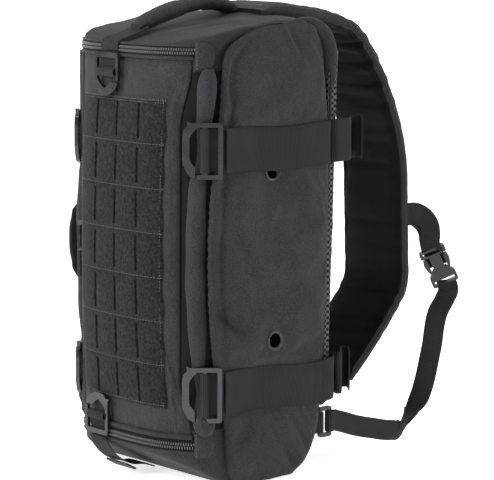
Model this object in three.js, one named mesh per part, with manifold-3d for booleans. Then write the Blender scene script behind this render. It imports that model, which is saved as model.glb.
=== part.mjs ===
// Single-strap trauma sling pack with a hinged clamshell front. Millimetres.
// +Z is up, the front faces -Y, and +X is on the right of someone facing the front.
// The origin is the middle of the flat base.
import * as THREE from 'three';
import { mergeVertices } from 'three/addons/utils/BufferGeometryUtils.js';
import Module from 'manifold-3d';

const wasm = await Module();
wasm.setup();

// ---- driving dimensions ----
const GAP = 0.4;              // clearance between touching pieces
const SHELL_HALF = 111;       // half width of the tub
const WALL = 7;               // padded wall of the tub
const LOBE_THICK = 9.6;       // padded side panel outside the tub
const BACK_LOW = 96;          // Y of the back wall at BACK_LOW_Z
const BACK_LOW_Z = 50;
const BACK_SLOPE = 0.028;     // the back leans away from the front as it rises
const DOOR_Z = [57, 498];     // bottom and top edge of the clamshell door
const DOOR_ARC = 94;          // half width of the door measured round its curve
const DOOR_THICK = 8;
const OPENING_HALF = 92.4;    // half width of the shell's front opening
const FRONT_Y = -119;         // foremost line of the door
const FRONT_MID_Z = 270;      // height at which the door bulges furthest
const FRONT_SAG = 6.4;        // how far the front falls back 178 mm from that height
const FRONT_TURN = 1.1e-3;    // curvature at the middle of the front, rad per mm
const FRONT_TURN3 = 7.4e-7;   // how fast the curvature grows towards the edges
const LOOP_ROWS = 7;
const LOOP_ROW = 50.8;        // height of one row of attachment loops
const LOOP_COLUMN = 38.1;
const LOOP_BOTTOM = 92.2;
const SIDE_WEB = 50.8;        // side compression webbing
const FRONT_WEB = 31.8;       // top and bottom compression webbing
const THIN_WEB = 25.4;        // stabiliser webbing
const WEB = 1.8;              // webbing thickness
const STRAP_HALF = 54;        // half width of the shoulder strap
const STRAP_THICK = 16;
const SIDE_STRAP_Z = [391.5, 111.5];
const HOOK_AZIMUTH = 50;      // plan angle of the side hooks, degrees
const HOOK_START = [99, -101]; // plan place of a side hook's free end

// ---- solids ----
const V = (x, y, z) => new THREE.Vector3(x, y, z);

function solid(geometry) {
  const bare = new THREE.BufferGeometry();
  bare.setAttribute('position', geometry.getAttribute('position').clone());
  if (geometry.index) bare.setIndex(geometry.index.clone());
  const merged = mergeVertices(bare, 1e-4);
  return new wasm.Manifold(new wasm.Mesh({
    numProp: 3,
    vertProperties: new Float32Array(merged.getAttribute('position').array),
    triVerts: new Uint32Array(merged.index.array),
  }));
}

function geometryOf(manifold) {
  const mesh = manifold.getMesh();
  const geometry = new THREE.BufferGeometry();
  geometry.setAttribute('position', new THREE.BufferAttribute(mesh.vertProperties.slice(), 3));
  geometry.setIndex([...mesh.triVerts]);
  return geometry;
}

const cut = (body, ...tools) => geometryOf(
  tools.reduce((left, tool) => left.subtract(solid(tool)), solid(body)),
);
const common = (a, b) => geometryOf(solid(a).intersect(solid(b)));

function box(x0, x1, y0, y1, z0, z1) {
  return new THREE.BoxGeometry(x1 - x0, y1 - y0, z1 - z0)
    .translate((x0 + x1) / 2, (y0 + y1) / 2, (z0 + z1) / 2);
}

// Outline from corners [a, b, radius]; each corner is rounded by a quadratic curve.
function outline(corners, PathClass = THREE.Shape) {
  const shape = new PathClass();
  corners.forEach(([a, b, radius = 0], i) => {
    const here = new THREE.Vector2(a, b);
    const before = new THREE.Vector2(...corners.at(i - 1).slice(0, 2));
    const after = new THREE.Vector2(...corners[(i + 1) % corners.length].slice(0, 2));
    const reach = Math.min(radius, 0.48 * before.distanceTo(here), 0.48 * after.distanceTo(here));
    const start = before.sub(here).setLength(reach).add(here);
    const end = after.sub(here).setLength(reach).add(here);
    if (i === 0) shape.moveTo(start.x, start.y);
    else shape.lineTo(start.x, start.y);
    if (radius > 0) shape.quadraticCurveTo(a, b, end.x, end.y);
  });
  shape.closePath();
  return shape;
}

// Prism of an outline along one axis; the outline's own axes are the next two in X, Y, Z order.
function prism(axis, corners, low, high, curveSegments = 4) {
  const shape = Array.isArray(corners) ? outline(corners) : corners;
  const depth = high - low;
  const geometry = new THREE.ExtrudeGeometry(shape, { depth, bevelEnabled: false, curveSegments });
  geometry.translate(0, 0, low);
  const X = V(1, 0, 0);
  const Y = V(0, 1, 0);
  const Z = V(0, 0, 1);
  const bases = { x: [Y, Z, X], y: [Z, X, Y], z: [X, Y, Z] };
  return geometry.applyMatrix4(new THREE.Matrix4().makeBasis(...bases[axis]));
}

// Closed body through rings of equal count, anticlockwise as seen looking back along the path.
function loft(rings) {
  const count = rings[0].length;
  const positions = rings.flat().flatMap((p) => [p.x, p.y, p.z]);
  const faces = [];
  for (let i = 0; i + 1 < rings.length; i += 1) {
    for (let j = 0; j < count; j += 1) {
      const a = i * count + j;
      const b = i * count + (j + 1) % count;
      faces.push(a, b, b + count, a, b + count, a + count);
    }
  }
  const last = (rings.length - 1) * count;
  for (let j = 1; j + 1 < count; j += 1) {
    faces.push(0, j + 1, j);
    faces.push(last, last + j, last + j + 1);
  }
  const geometry = new THREE.BufferGeometry();
  geometry.setAttribute('position', new THREE.Float32BufferAttribute(positions, 3));
  geometry.setIndex(faces);
  return geometry;
}

// Flat webbing along a path of points. wide is the direction of its width, or one for each point.
function ribbon(points, wide, width, thickness) {
  const rings = points.map((p, i) => {
    const ahead = points[Math.min(i + 1, points.length - 1)];
    const behind = points[Math.max(i - 1, 0)];
    const along = ahead.clone().sub(behind).normalize();
    const across = (Array.isArray(wide) ? wide[i] : wide).clone();
    across.addScaledVector(along, -across.dot(along)).setLength(width / 2);
    const up = along.clone().cross(across).setLength(thickness / 2);
    const corner = (a, b) => p.clone().addScaledVector(across, a).addScaledVector(up, b);
    return [corner(1, 1), corner(-1, 1), corner(-1, -1), corner(1, -1)];
  });
  return loft(rings);
}

const smooth = (points, steps) => new THREE.CatmullRomCurve3(points, false, 'centripetal').getPoints(steps);

// Curved slab: surface(u, v, outwards) on a grid, closed by its four edges.
function slab(surface, uSteps, vSteps, inner, outer) {
  const rings = [];
  for (let j = 0; j <= vSteps; j += 1) {
    const ring = [];
    for (let i = 0; i <= uSteps; i += 1) ring.push(surface(i / uSteps, j / vSteps, outer));
    for (let i = uSteps; i >= 0; i -= 1) ring.push(surface(i / uSteps, j / vSteps, inner));
    rings.push(ring);
  }
  const geometry = loft(rings);
  const count = 2 * (uSteps + 1);
  const faces = [...geometry.index.array].slice(0, rings.length * count * 6 - count * 6);
  const last = (rings.length - 1) * count;
  for (let i = 0; i < uSteps; i += 1) {
    const [a, b, c, d] = [i, i + 1, count - 2 - i, count - 1 - i];
    faces.push(a, c, b, a, d, c);
    faces.push(last + a, last + b, last + c, last + a, last + c, last + d);
  }
  geometry.setIndex(faces);
  return geometry;
}

function mirrored(geometry) {
  return geometryOf(solid(geometry).mirror([1, 0, 0]));
}

// ---- materials and assembly ----
const FINISHES = {
  fabric: [0x4b4b4d, 0.9, 0],
  webbing: [0x1e1e20, 0.85, 0],
  padding: [0x222224, 0.95, 0],
  mesh: [0x2a2a2c, 0.95, 0],
  hook: [0x6a6b6e, 0.4, 0.8],
  plastic: [0x1b1b1d, 0.5, 0],
  board: [0x38383a, 0.6, 0],
  elastic: [0x2b2b2e, 0.9, 0],
};
const pack = new THREE.Group();

function add(name, finish, geometry) {
  const [color, roughness, metalness] = FINISHES[finish];
  const mesh = new THREE.Mesh(geometry, new THREE.MeshStandardMaterial({ color, roughness, metalness }));
  mesh.name = name;
  pack.add(mesh);
}

// ---- shapes of the pack ----
const backY = (z) => BACK_LOW + (z - BACK_LOW_Z) * BACK_SLOPE;

// Point of the front surface at arc length s from the middle, at height z, pushed outwards.
function frontPoint(s, z, outwards) {
  const steps = 24;
  const point = V(0, FRONT_Y + FRONT_SAG * ((z - FRONT_MID_Z) / 178) ** 2, z);
  const turn = (t) => FRONT_TURN * t + FRONT_TURN3 * t ** 3;
  for (let i = 0; i < steps; i += 1) {
    const angle = turn(((i + 0.5) / steps) * s);
    point.x += Math.cos(angle) * (s / steps);
    point.y += Math.sin(angle) * (s / steps);
  }
  point.x += Math.sin(turn(s)) * outwards;
  point.y -= Math.cos(turn(s)) * outwards;
  return point;
}

const frontSlab = (half, z0, z1, inner, outer, uSteps, vSteps) => slab(
  (u, v, outwards) => frontPoint((2 * u - 1) * half, z0 + (z1 - z0) * v, outwards),
  uSteps,
  vSteps,
  inner,
  outer,
);

// Leaning sheet against the back wall, from `near` to `far` behind the wall's line.
const backSheet = (half, z0, z1, near, far) => prism('x', [
  [backY(z0) + near, z0], [backY(z0) + far, z0],
  [backY(z1) + far, z1], [backY(z1) + near, z1],
], -half, half);

function mainShell() {
  const side = [
    [-46, 0, 4], [62, 0, 26], [backY(48), 48, 22], [backY(500), 500, 12], [96, 533, 14],
    [10, 532, 30], [-70, 521, 20], [-113, 508, 3], [-113, 500, 0], [-113, 40, 6],
  ];
  const plan = [];
  for (let i = -8; i <= 8; i += 1) {
    const p = frontPoint(i * 12, FRONT_MID_Z + 178, 0);
    plan.push([p.x, p.y]);
  }
  plan.push([101, -87, 3], [SHELL_HALF, -74, 6], [SHELL_HALF, 112, 12]);
  plan.push([-SHELL_HALF, 112, 12], [-SHELL_HALF, -74, 6], [-101, -87, 3]);
  const outer = common(prism('x', side, -130, 130), prism('z', plan, -5, 560));
  const inside = SHELL_HALF - WALL;
  const hollowSide = [
    [-44, 8, 10], [58, 8, 26], [backY(50) - WALL, 54, 20], [backY(495) - WALL, 495, 12], [88, 525, 12],
    [10, 524, 26], [-66, 513, 10], [-80, 505, 8], [-80, 44, 8],
  ];
  const hollowPlan = [
    [-92, -80, 8], [92, -80, 8], [inside, -60, 10], [inside, 112, 10], [-inside, 112, 10], [-inside, -60, 10],
  ];
  const hollow = common(prism('x', hollowSide, -130, 130), prism('z', hollowPlan, -5, 560));
  const opening = box(-OPENING_HALF, OPENING_HALF, -140, -80, DOOR_Z[0] - 2, DOOR_Z[1] + 2);
  const beyondDoor = box(-130, 130, -140, -86, DOOR_Z[0] - 2, DOOR_Z[1] + 2);
  return cut(outer, hollow, opening, beyondDoor);
}

function sidePanel() {
  const edge = [
    [-36, 1, 8], [60, 1, 26], [93, 44, 20], [106, 170, 20], [111, 330, 20], [113, 440, 20],
    [106, 534, 26], [20, 533, 40], [-54, 508, 26], [-62, 440, 20], [-79, 270, 60], [-72, 140, 20],
    [-58, 74, 20],
  ];
  const x0 = SHELL_HALF + GAP;
  const body = prism('x', edge, x0, x0 + LOBE_THICK);
  const rounding = prism('z', [
    [x0 - 1, -86], [x0 + 1, -86, 2], [x0 + LOBE_THICK + 0.6, -62, 14],
    [x0 + LOBE_THICK + 0.6, 96, 12], [x0 + 4, 120], [x0 - 1, 120],
  ], -5, 560);
  const eyelet = new THREE.CylinderGeometry(7.5, 7.5, 60, 20).rotateZ(Math.PI / 2).translate(120, 18, 164);
  return cut(common(body, rounding), eyelet);
}

const shoulderPath = smooth([
  V(0, 56, 543), V(0, 90, 543), V(0, 130, 537.5), V(0, 175, 530), V(0, 212, 516), V(0, 235, 491),
  V(0, 261, 449), V(0, 278, 412), V(0, 290, 376), V(0, 296, 343), V(0, 298, 299), V(0, 300, 240),
  V(0, 298, 188), V(0, 278, 160), V(0, 253, 131), V(0, 207, 84),
], 40);

// Frame buckle with an open hook: u runs from the hook's end to the frame's outer bar, v is up.
// Its plan has one slot for the webbing, a centre bar and a hook with a narrow mouth below.
function hookBuckle(width, height, thickness, rail) {
  const k = width / 46;
  const top = height;
  const shape = outline([
    [width, 0, 4], [width, top, 4], [17 * k, top, 2], [9 * k, top, 1], [5 * k, top + 2.5],
    [5.5 * k, top - 4], [1.5 * k, top - 7, 2], [0, top - 16, 5], [0, 18 * k, 4], [7 * k, 4 * k, 4],
    [17 * k, 0, 2],
  ]);
  shape.holes.push(outline([
    [28 * k, rail, 1], [28 * k, top - rail, 1], [40.5 * k, top - rail, 1], [40.5 * k, rail, 1],
  ], THREE.Path));
  const body = new THREE.ExtrudeGeometry(shape, { depth: thickness, bevelEnabled: false, curveSegments: 3 })
    .translate(0, 0, -thickness / 2);
  const throat = new THREE.ExtrudeGeometry(outline([
    [13 * k, top - rail - 4 * k, 2], [8 * k, top - rail - 11 * k, 3], [8 * k, 22 * k, 3],
    [14.5 * k, 13 * k], [14.5 * k, -5], [16.3 * k, -5], [16.3 * k, rail], [22.5 * k, rail],
    [22.5 * k, top - rail], [17 * k, top - rail],
  ]), { depth: 20, bevelEnabled: false, curveSegments: 3 }).translate(0, 0, -10);
  return cut(body, throat);
}

// Webbing folded round a centre bar that spans uBar, with a tail under the frame to uEnd.
// Drawn with its second axis pointing inwards, then turned so that it points along v.
function barWrap(uBar, uEnd, width, height, room) {
  const left = uBar[0] - 0.6;
  const right = uBar[1] + 0.6;
  const shape = outline([
    [left - WEB, room + WEB, 3.4], [uEnd, room + WEB], [uEnd, room], [right + WEB, room],
    [right + WEB, -room - WEB, 3.4], [left - WEB, -room - WEB, 3.4],
  ]);
  shape.holes.push(outline([
    [left, room, 1.6], [left, -room, 1.6], [right, -room, 1.6], [right, room, 1.6],
  ], THREE.Path));
  const body = new THREE.ExtrudeGeometry(shape, { depth: width, bevelEnabled: false, curveSegments: 3 });
  return body.rotateX(-Math.PI / 2).translate(0, (height - width) / 2, 0);
}

// ---- tub, padding and what is sewn to it ----
add('main_shell', 'fabric', mainShell());
add('side_panel_right', 'fabric', sidePanel());
add('side_panel_left', 'fabric', mirrored(sidePanel()));

// Soft roll beside the door, lying on the tub's front corner.
const gusset = prism('z', [
  [94, -86.4], [94.2, -91.4, 3], [101.8, -90.4, 4], [109.8, -80.3, 2], [109.4, -77], [101.6, -87, 1],
  [100.8, -86.4],
], DOOR_Z[0] + 2, DOOR_Z[1] - 2);
add('front_gusset_right', 'fabric', gusset);
add('front_gusset_left', 'fabric', mirrored(gusset));

add('back_panel', 'mesh', backSheet(108, 76, 496, GAP, 10));
add('frame_sheet', 'board', backSheet(96, 70, 488, -WALL - 3, -WALL - GAP));
add('organiser_panel', 'fabric', backSheet(92, 74, 484, -WALL - 6.5, -WALL - 3 - GAP));

// Elastic loops: a flat strip that rises into a row of round-topped loops.
function elasticRow(z) {
  const loops = 6;
  const pitch = 29;
  const width = 38;
  const face = backY(z) - WALL - 6.5 - GAP;
  const shape = new THREE.Shape();
  const start = (-loops * pitch) / 2;
  shape.moveTo(start, 0);
  for (let i = 0; i < loops; i += 1) {
    const x = start + i * pitch;
    shape.lineTo(x + 2, -1.6);
    shape.quadraticCurveTo(x + pitch / 2, -26, x + pitch - 2, -1.6);
  }
  shape.lineTo(-start, 0);
  for (let i = loops - 1; i >= 0; i -= 1) {
    const x = start + i * pitch;
    shape.lineTo(x + pitch - 5, 0);
    shape.quadraticCurveTo(x + pitch / 2, -22, x + 5, 0);
  }
  shape.closePath();
  const strip = new THREE.ExtrudeGeometry(shape, { depth: width, bevelEnabled: false, curveSegments: 6 });
  return strip.translate(0, face - 0.5, z - width / 2);
}
['upper', 'middle', 'lower'].forEach((place, i) => {
  add(`elastic_loops_${place}`, 'elastic', elasticRow(400 - 120 * i));
});

// ---- clamshell door ----
add('front_panel', 'fabric', frontSlab(DOOR_ARC, DOOR_Z[0], DOOR_Z[1], -DOOR_THICK, 0, 16, 8));

function loopPanel() {
  const height = LOOP_ROWS * LOOP_ROW;
  const sheet = frontSlab(2 * LOOP_COLUMN, LOOP_BOTTOM, LOOP_BOTTOM + height, GAP, GAP + 1.8, 16, 7);
  const slit = LOOP_ROW * 0.77;
  const slits = [];
  for (let row = 0; row < LOOP_ROWS; row += 1) {
    for (let column = -1; column <= 1; column += 1) {
      const x = column * LOOP_COLUMN;
      const z = LOOP_BOTTOM + (row + 0.5) * LOOP_ROW;
      slits.push(box(x - 1.1, x + 1.1, -140, -90, z - slit / 2, z + slit / 2));
    }
  }
  return cut(sheet, ...slits);
}
add('loop_panel', 'fabric', loopPanel());
const pocketInner = -DOOR_THICK - GAP - 4;
add('door_pocket', 'mesh', frontSlab(62, 110, 380, pocketInner, -DOOR_THICK - GAP, 10, 5));

// A hook on the front: placed by its middle, hook end up or down, on webbing 38 mm wide.
const FRONT_HOOK = { width: 50, height: 43, thick: 3.6, rail: 4.6 };

function frontHookPieces(x, z, upwards) {
  const { width, height, thick, rail } = FRONT_HOOK;
  const y = frontPoint(x, z, 0).y - 9.2;
  const turn = new THREE.Matrix4();
  const along = V(0, 0, upwards ? -1 : 1);
  const out = V(0, -1, 0);
  turn.makeBasis(along, out.clone().cross(along), out);
  turn.setPosition(x, y, z);
  const centre = new THREE.Matrix4().makeTranslation(-width / 2, -height / 2, 0);
  const place = (geometry) => geometry.applyMatrix4(centre).applyMatrix4(turn);
  const k = width / 46;
  return {
    hook: place(hookBuckle(width, height, thick, rail)),
    wrap: place(barWrap([22.5 * k, 28 * k], width + 1.5, FRONT_WEB, height, thick / 2 + 0.6)),
  };
}
const topHook = frontHookPieces(-14, 473, false);
const bottomHook = frontHookPieces(-36, 72, true);
add('top_hook', 'hook', topHook.hook);
add('top_hook_webbing', 'webbing', topHook.wrap);
add('bottom_hook', 'hook', bottomHook.hook);
add('bottom_hook_webbing', 'webbing', bottomHook.wrap);

// Webbing tab sewn to the door, standing through a hook's throat.
function doorTab(x, zFace, zTip) {
  const face = (z) => frontPoint(x, z, 0).y;
  const toward = Math.sign(zTip - zFace);
  return ribbon([
    V(x, face(zFace) - 1.6, zFace), V(x, face(zFace) - 2, zFace + toward * 10),
    V(x, face(zTip) - 3.2, zTip - toward * 6), V(x, face(zTip) - 4, zTip),
  ], V(1, 0, 0), 24, 1.4);
}
add('top_anchor_tab', 'webbing', doorTab(-14, 450, 484));
add('bottom_anchor_tab', 'webbing', doorTab(-36, 91, 60));

// ---- side compression straps, hooks and tails ----
function sideFrame(z) {
  const angle = THREE.MathUtils.degToRad(HOOK_AZIMUTH);
  const along = V(Math.cos(angle), Math.sin(angle), 0);
  const out = V(along.y, -along.x, 0);
  const matrix = new THREE.Matrix4().makeBasis(along, V(0, 0, 1), out);
  return matrix.setPosition(HOOK_START[0], HOOK_START[1], z - 32);
}
const HOOK_PIVOT_U = 48.5;
const HOOK_PIVOT_OUT = -4;
const hookPivot = V(HOOK_PIVOT_U, 0, HOOK_PIVOT_OUT).applyMatrix4(sideFrame(0));

// From the buckle back over the side panel, then folded on itself behind the back edge.
function sideStrap(z) {
  const x = SHELL_HALF + GAP + LOBE_THICK + GAP + WEB / 2;
  const folded = smooth([
    V(x - 0.2, 108, z), V(x, 122, z), V(x + 1.4, 136, z), V(x, 149, z), V(x - 5, 151, z),
    V(x - 8, 138, z), V(x - 9.5, 124, z),
  ], 14);
  return ribbon([
    V(hookPivot.x + 0.2, hookPivot.y + 1.4, z), V(x + 2.6, -48, z), V(x + 0.8, -32, z), V(x, 0, z),
    V(x, 60, z), ...folded,
  ], V(0, 0, 1), SIDE_WEB, WEB);
}

for (const [place, z] of [['upper', SIDE_STRAP_Z[0]], ['lower', SIDE_STRAP_Z[1]]]) {
  const hook = hookBuckle(46, 64, 4.5, 5.2).applyMatrix4(sideFrame(z));
  const wrap = barWrap([22.5, 28], HOOK_PIVOT_U - 1, SIDE_WEB, 64, 2.85).applyMatrix4(sideFrame(z));
  add(`${place}_right_hook`, 'hook', hook);
  add(`${place}_right_hook_webbing`, 'webbing', wrap);
  add(`${place}_left_hook`, 'hook', mirrored(hook));
  add(`${place}_left_hook_webbing`, 'webbing', mirrored(wrap));
  add(`${place}_right_strap`, 'webbing', sideStrap(z));
  add(`${place}_left_strap`, 'webbing', mirrored(sideStrap(z)));
}

// ---- top strap and grab handle ----
add('top_strap', 'webbing', ribbon([
  V(-14, -116.6, 501.4), V(-13.6, -116.4, 507), V(-12.6, -113.6, 511.4), V(-9, -106, 514.2),
  V(-4, -96, 516.8), V(-3, -89, 518.6),
], V(1, 0, 0), FRONT_WEB, WEB));
add('top_handle', 'fabric', ribbon(smooth([
  V(0, -82, 529), V(0, -66, 534.5), V(0, -44, 542), V(0, -14, 550), V(0, 14, 553), V(0, 34, 550),
  V(0, 49, 543),
], 18), V(1, 0, 0), 30, 14));

// ---- side carry handle on the left ----
const SIDE_HANDLE_Y = -62;
add('side_handle', 'webbing', ribbon(smooth([
  V(-126.3, SIDE_HANDLE_Y, 330), V(-131, SIDE_HANDLE_Y, 314), V(-148, SIDE_HANDLE_Y, 296),
  V(-156, SIDE_HANDLE_Y, 278), V(-157, SIDE_HANDLE_Y, 262), V(-156, SIDE_HANDLE_Y, 246),
  V(-148, SIDE_HANDLE_Y, 228), V(-131, SIDE_HANDLE_Y, 210), V(-126.3, SIDE_HANDLE_Y, 194),
], 20), V(0, 1, 0), 19, 2.4));

// ---- door zips: sliders on the straight left run, each with its pull ----
const ZIP_X = -96.6;
const ZIP_Y = -95.8;
for (const [place, z, pull] of [['upper', 286, [260, 288]], ['lower', 262, [226, 257]]]) {
  add(`${place}_zip_slider`, 'hook', prism('y', [
    [z - 7, ZIP_X - 3.6, 1], [z + 7, ZIP_X - 4.4, 2], [z + 7, ZIP_X + 4.4, 2], [z - 7, ZIP_X + 3.6, 1],
  ], ZIP_Y - 1.9, ZIP_Y + 1.9));
  add(`${place}_zip_pull`, 'webbing', box(ZIP_X - 3.5, ZIP_X + 3.5, ZIP_Y - 4.4, ZIP_Y - 2.6, ...pull));
}
add('left_zip_chain', 'plastic', box(ZIP_X - 2.4, ZIP_X + 2.4, -93.6, -91.8, 62, 493));

// Coil chain along the lip above or below the door.
const LIP_LINE = FRONT_MID_Z + 178;
function lipChain(z0, z1) {
  const surface = (u, v, outwards) => frontPoint((2 * u - 1) * 92, LIP_LINE, outwards)
    .setZ(z0 + (z1 - z0) * v);
  return slab(surface, 14, 1, GAP, GAP + 1.6);
}
add('top_zip_chain', 'plastic', lipChain(500.6, 505));
add('bottom_zip_chain', 'plastic', lipChain(46, 54.6));

// ---- bottom strap and its slider ----
add('bottom_strap', 'webbing', ribbon([
  V(-36, -116.2, 43.6), V(-36, -116.4, 39), V(-33, -114.6, 33), V(-24, -107, 21), V(-14, -94, 13.4),
  V(-9, -80, 11.4), V(-7, -66, 6.6),
], V(1, 0, 0), FRONT_WEB, WEB));
// Two-slot frame lying flat: bars run along X, the webbing along Y.
function slotFrame(deep, wide, slots, thickness) {
  const shape = outline([
    [-wide, -deep, 3], [wide, -deep, 3], [wide, deep, 3], [-wide, deep, 3],
  ]);
  slots.forEach(([near, far, reach]) => shape.holes.push(outline([
    [-reach, near], [-reach, far], [reach, far], [reach, near],
  ], THREE.Path)));
  const body = new THREE.ExtrudeGeometry(shape, { depth: thickness, bevelEnabled: false, curveSegments: 3 });
  return body.translate(0, 0, -thickness / 2);
}
add('bottom_strap_slider', 'plastic', slotFrame(9, 20, [[-6.8, -1.6, 17], [1.6, 6.8, 16.8]], 2.6)
  .rotateX(-0.5).translate(-17, -98.4, 10.4));

// ---- shoulder strap and its lower end ----
add('shoulder_strap', 'padding', ribbon(shoulderPath, V(1, 0, 0), 2 * STRAP_HALF, STRAP_THICK));
// Webbing loop round a bar that runs along X, with its tail towards -Y.
function wrapAlongX(y, z, room, tailY, width) {
  const r = room + WEB;
  const shape = outline([
    [tailY, z - WEB], [y - r, z - r, 2], [y + r, z - r, 3], [y + r, z + r, 3], [y - r, z + r, 2],
    [tailY, z + WEB],
  ]);
  shape.holes.push(outline([
    [y - room, z - room, 2], [y - room, z + room, 2], [y + room, z + room, 2], [y + room, z - room, 2],
  ], THREE.Path));
  return prism('x', shape, -width / 2, width / 2, 3);
}
const LOCK = { y: 140, z: 93 };
add('shoulder_strap_webbing', 'webbing', ribbon([
  V(0, 199.6, 76), V(0, 190, 76), V(0, 166, 84), V(0, LOCK.y + 16, LOCK.z - 3.6),
], V(1, 0, 0), SIDE_WEB, WEB));

// Ladder lock: a frame with two slots; its back bar turns in a sewn tab.
add('ladder_lock', 'plastic', slotFrame(13, 32, [[-9, -2.4, 27], [2.4, 9, 26.6]], 4)
  .translate(0, LOCK.y, LOCK.z));
add('ladder_lock_tab', 'webbing', wrapAlongX(LOCK.y - 11, LOCK.z, 3.4, backY(LOCK.z) + 10.8, SIDE_WEB));

// ---- stabiliser: ring, webbing, side-release buckle and the loop on the shoulder strap ----
const RING = { x: 106, y0: 105, y1: 124.5, z: 52, bar: 4.2 };
const ringFrame = outline([
  [RING.y0, RING.z - 18.5, 4], [RING.y1, RING.z - 18.5, 4], [RING.y1, RING.z + 18.5, 4],
  [RING.y0, RING.z + 18.5, 4],
]);
ringFrame.holes.push(outline([
  [RING.y0 + RING.bar, RING.z - 13.8, 1], [RING.y0 + RING.bar, RING.z + 13.8, 1],
  [RING.y1 - RING.bar, RING.z + 13.8, 1], [RING.y1 - RING.bar, RING.z - 13.8, 1],
], THREE.Path));
add('stabiliser_ring', 'plastic', prism('x', ringFrame, RING.x - 2.1, RING.x + 2.1));

// Webbing loop round an upright bar, with its tail towards +Y or -Y.
function barLoop(x, y, room, tailY, width, z) {
  const side = Math.sign(tailY - y);
  const r = room + WEB;
  const points = [
    [x - r, y - side * r, 3], [x + r, y - side * r, 3], [x + r, y + side * r, 3], [x + WEB, tailY],
    [x - WEB, tailY], [x - r, y + side * r, 3],
  ];
  const shape = outline(points);
  shape.holes.push(outline([
    [x - room, y - side * room, 1], [x - room, y + side * room, 1], [x + room, y + side * room, 1],
    [x + room, y - side * room, 1],
  ], THREE.Path));
  return prism('z', shape, z - width / 2, z + width / 2, 3);
}
add('stabiliser_tab', 'webbing', barLoop(
  RING.x,
  RING.y0 + RING.bar / 2,
  2.9,
  backY(RING.z) + 1.4,
  THIN_WEB,
  RING.z,
));
const farBar = RING.y1 - RING.bar / 2;
const sideways = V(0.66, 0.75, 0);
const lowerRun = [
  V(RING.x, farBar + 16, 49.8), V(105, 160, 42), V(103, 200, 31), V(102, 228, 24.6), V(101, 246, 23.4),
  V(99.5, 257, 31), V(95, 284, 53.7), V(89, 312, 113), V(84, 329, 160), V(81, 343, 175),
  V(79, 351.8, 187),
];
const lowerWide = [
  V(0, 0, 1), V(0, 0, 1), V(0, 0.1, 1), V(0.3, 0.2, 1), V(0.6, 0.3, 0.7), V(0.66, 0.6, 0.2), sideways,
  sideways, sideways, V(0.65, 0.7, 0.2), V(0.64, 0.65, 0.42),
];
add('stabiliser_loop', 'webbing', barLoop(RING.x, farBar, 4.7, farBar + 11, THIN_WEB, RING.z));
add('stabiliser_webbing', 'webbing', ribbon(lowerRun, lowerWide, THIN_WEB, WEB));

// Buckle frame: u across, v down the webbing, w out of its face.
const BUCKLE_TOP = V(67, 331, 238);
const down = V(0.2, 0.38, -0.9).normalize();
const across = sideways.clone().addScaledVector(down, -sideways.dot(down)).normalize();
const buckleFrame = new THREE.Matrix4().makeBasis(across, down, across.clone().cross(down))
  .setPosition(BUCKLE_TOP);
const plate = (corners, depth, holes = []) => {
  const shape = outline(corners);
  holes.forEach((hole) => shape.holes.push(outline(hole, THREE.Path)));
  return new THREE.ExtrudeGeometry(shape, { depth, bevelEnabled: false, curveSegments: 3 })
    .translate(0, 0, -depth / 2).applyMatrix4(buckleFrame);
};
const slot = (v0, v1) => [[-13.4, v0, 1], [-13.4, v1, 1], [13.4, v1, 1], [13.4, v0, 1]];
add('buckle_socket', 'plastic', plate([
  [-17, 0, 3], [17, 0, 3], [17, 9], [7, 10.5], [7, 27], [-7, 27], [-7, 10.5], [-17, 9],
], 10, [slot(3, 7.4)]));
add('buckle_plug', 'plastic', plate([
  [-9, 27.5], [9, 27.5], [17, 36.5, 2], [17, 50, 3], [-17, 50, 3], [-17, 36.5, 2],
], 8, [slot(42.4, 46.8)]));
for (const [name, side] of [['near', 1], ['far', -1]]) {
  const corners = [
    [11, 12.5], [15.6, 11.5, 1], [17.2, 18, 2], [15.6, 26, 2], [13.2, 31.4], [11, 29],
  ].map(([u, v, r]) => [side * u, v, r]);
  add(`buckle_prong_${name}`, 'plastic', plate(side > 0 ? corners : corners.reverse(), 6));
}
add('buckle_loop', 'webbing', ribbon([
  V(55, 302, 284), V(59, 311, 284), V(63.4, 321, 278), V(65.6, 328, 268), V(66.4, 330.5, 256),
  V(66, 329, 245.6),
], [V(0, 0, 1), V(0, 0, 1), V(0.3, 0.3, 1), V(0.6, 0.6, 0.6), sideways, sideways], THIN_WEB, WEB));

export default pack;
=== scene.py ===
"""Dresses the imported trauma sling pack: padded fabric, webbing, zips, mesh and hardware finishes.

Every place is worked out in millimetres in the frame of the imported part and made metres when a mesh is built.
"""

import math

import bpy
import numpy as np
from bpy.props import FloatProperty, FloatVectorProperty, IntProperty, PointerProperty
from mathutils import Matrix, Vector


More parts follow.
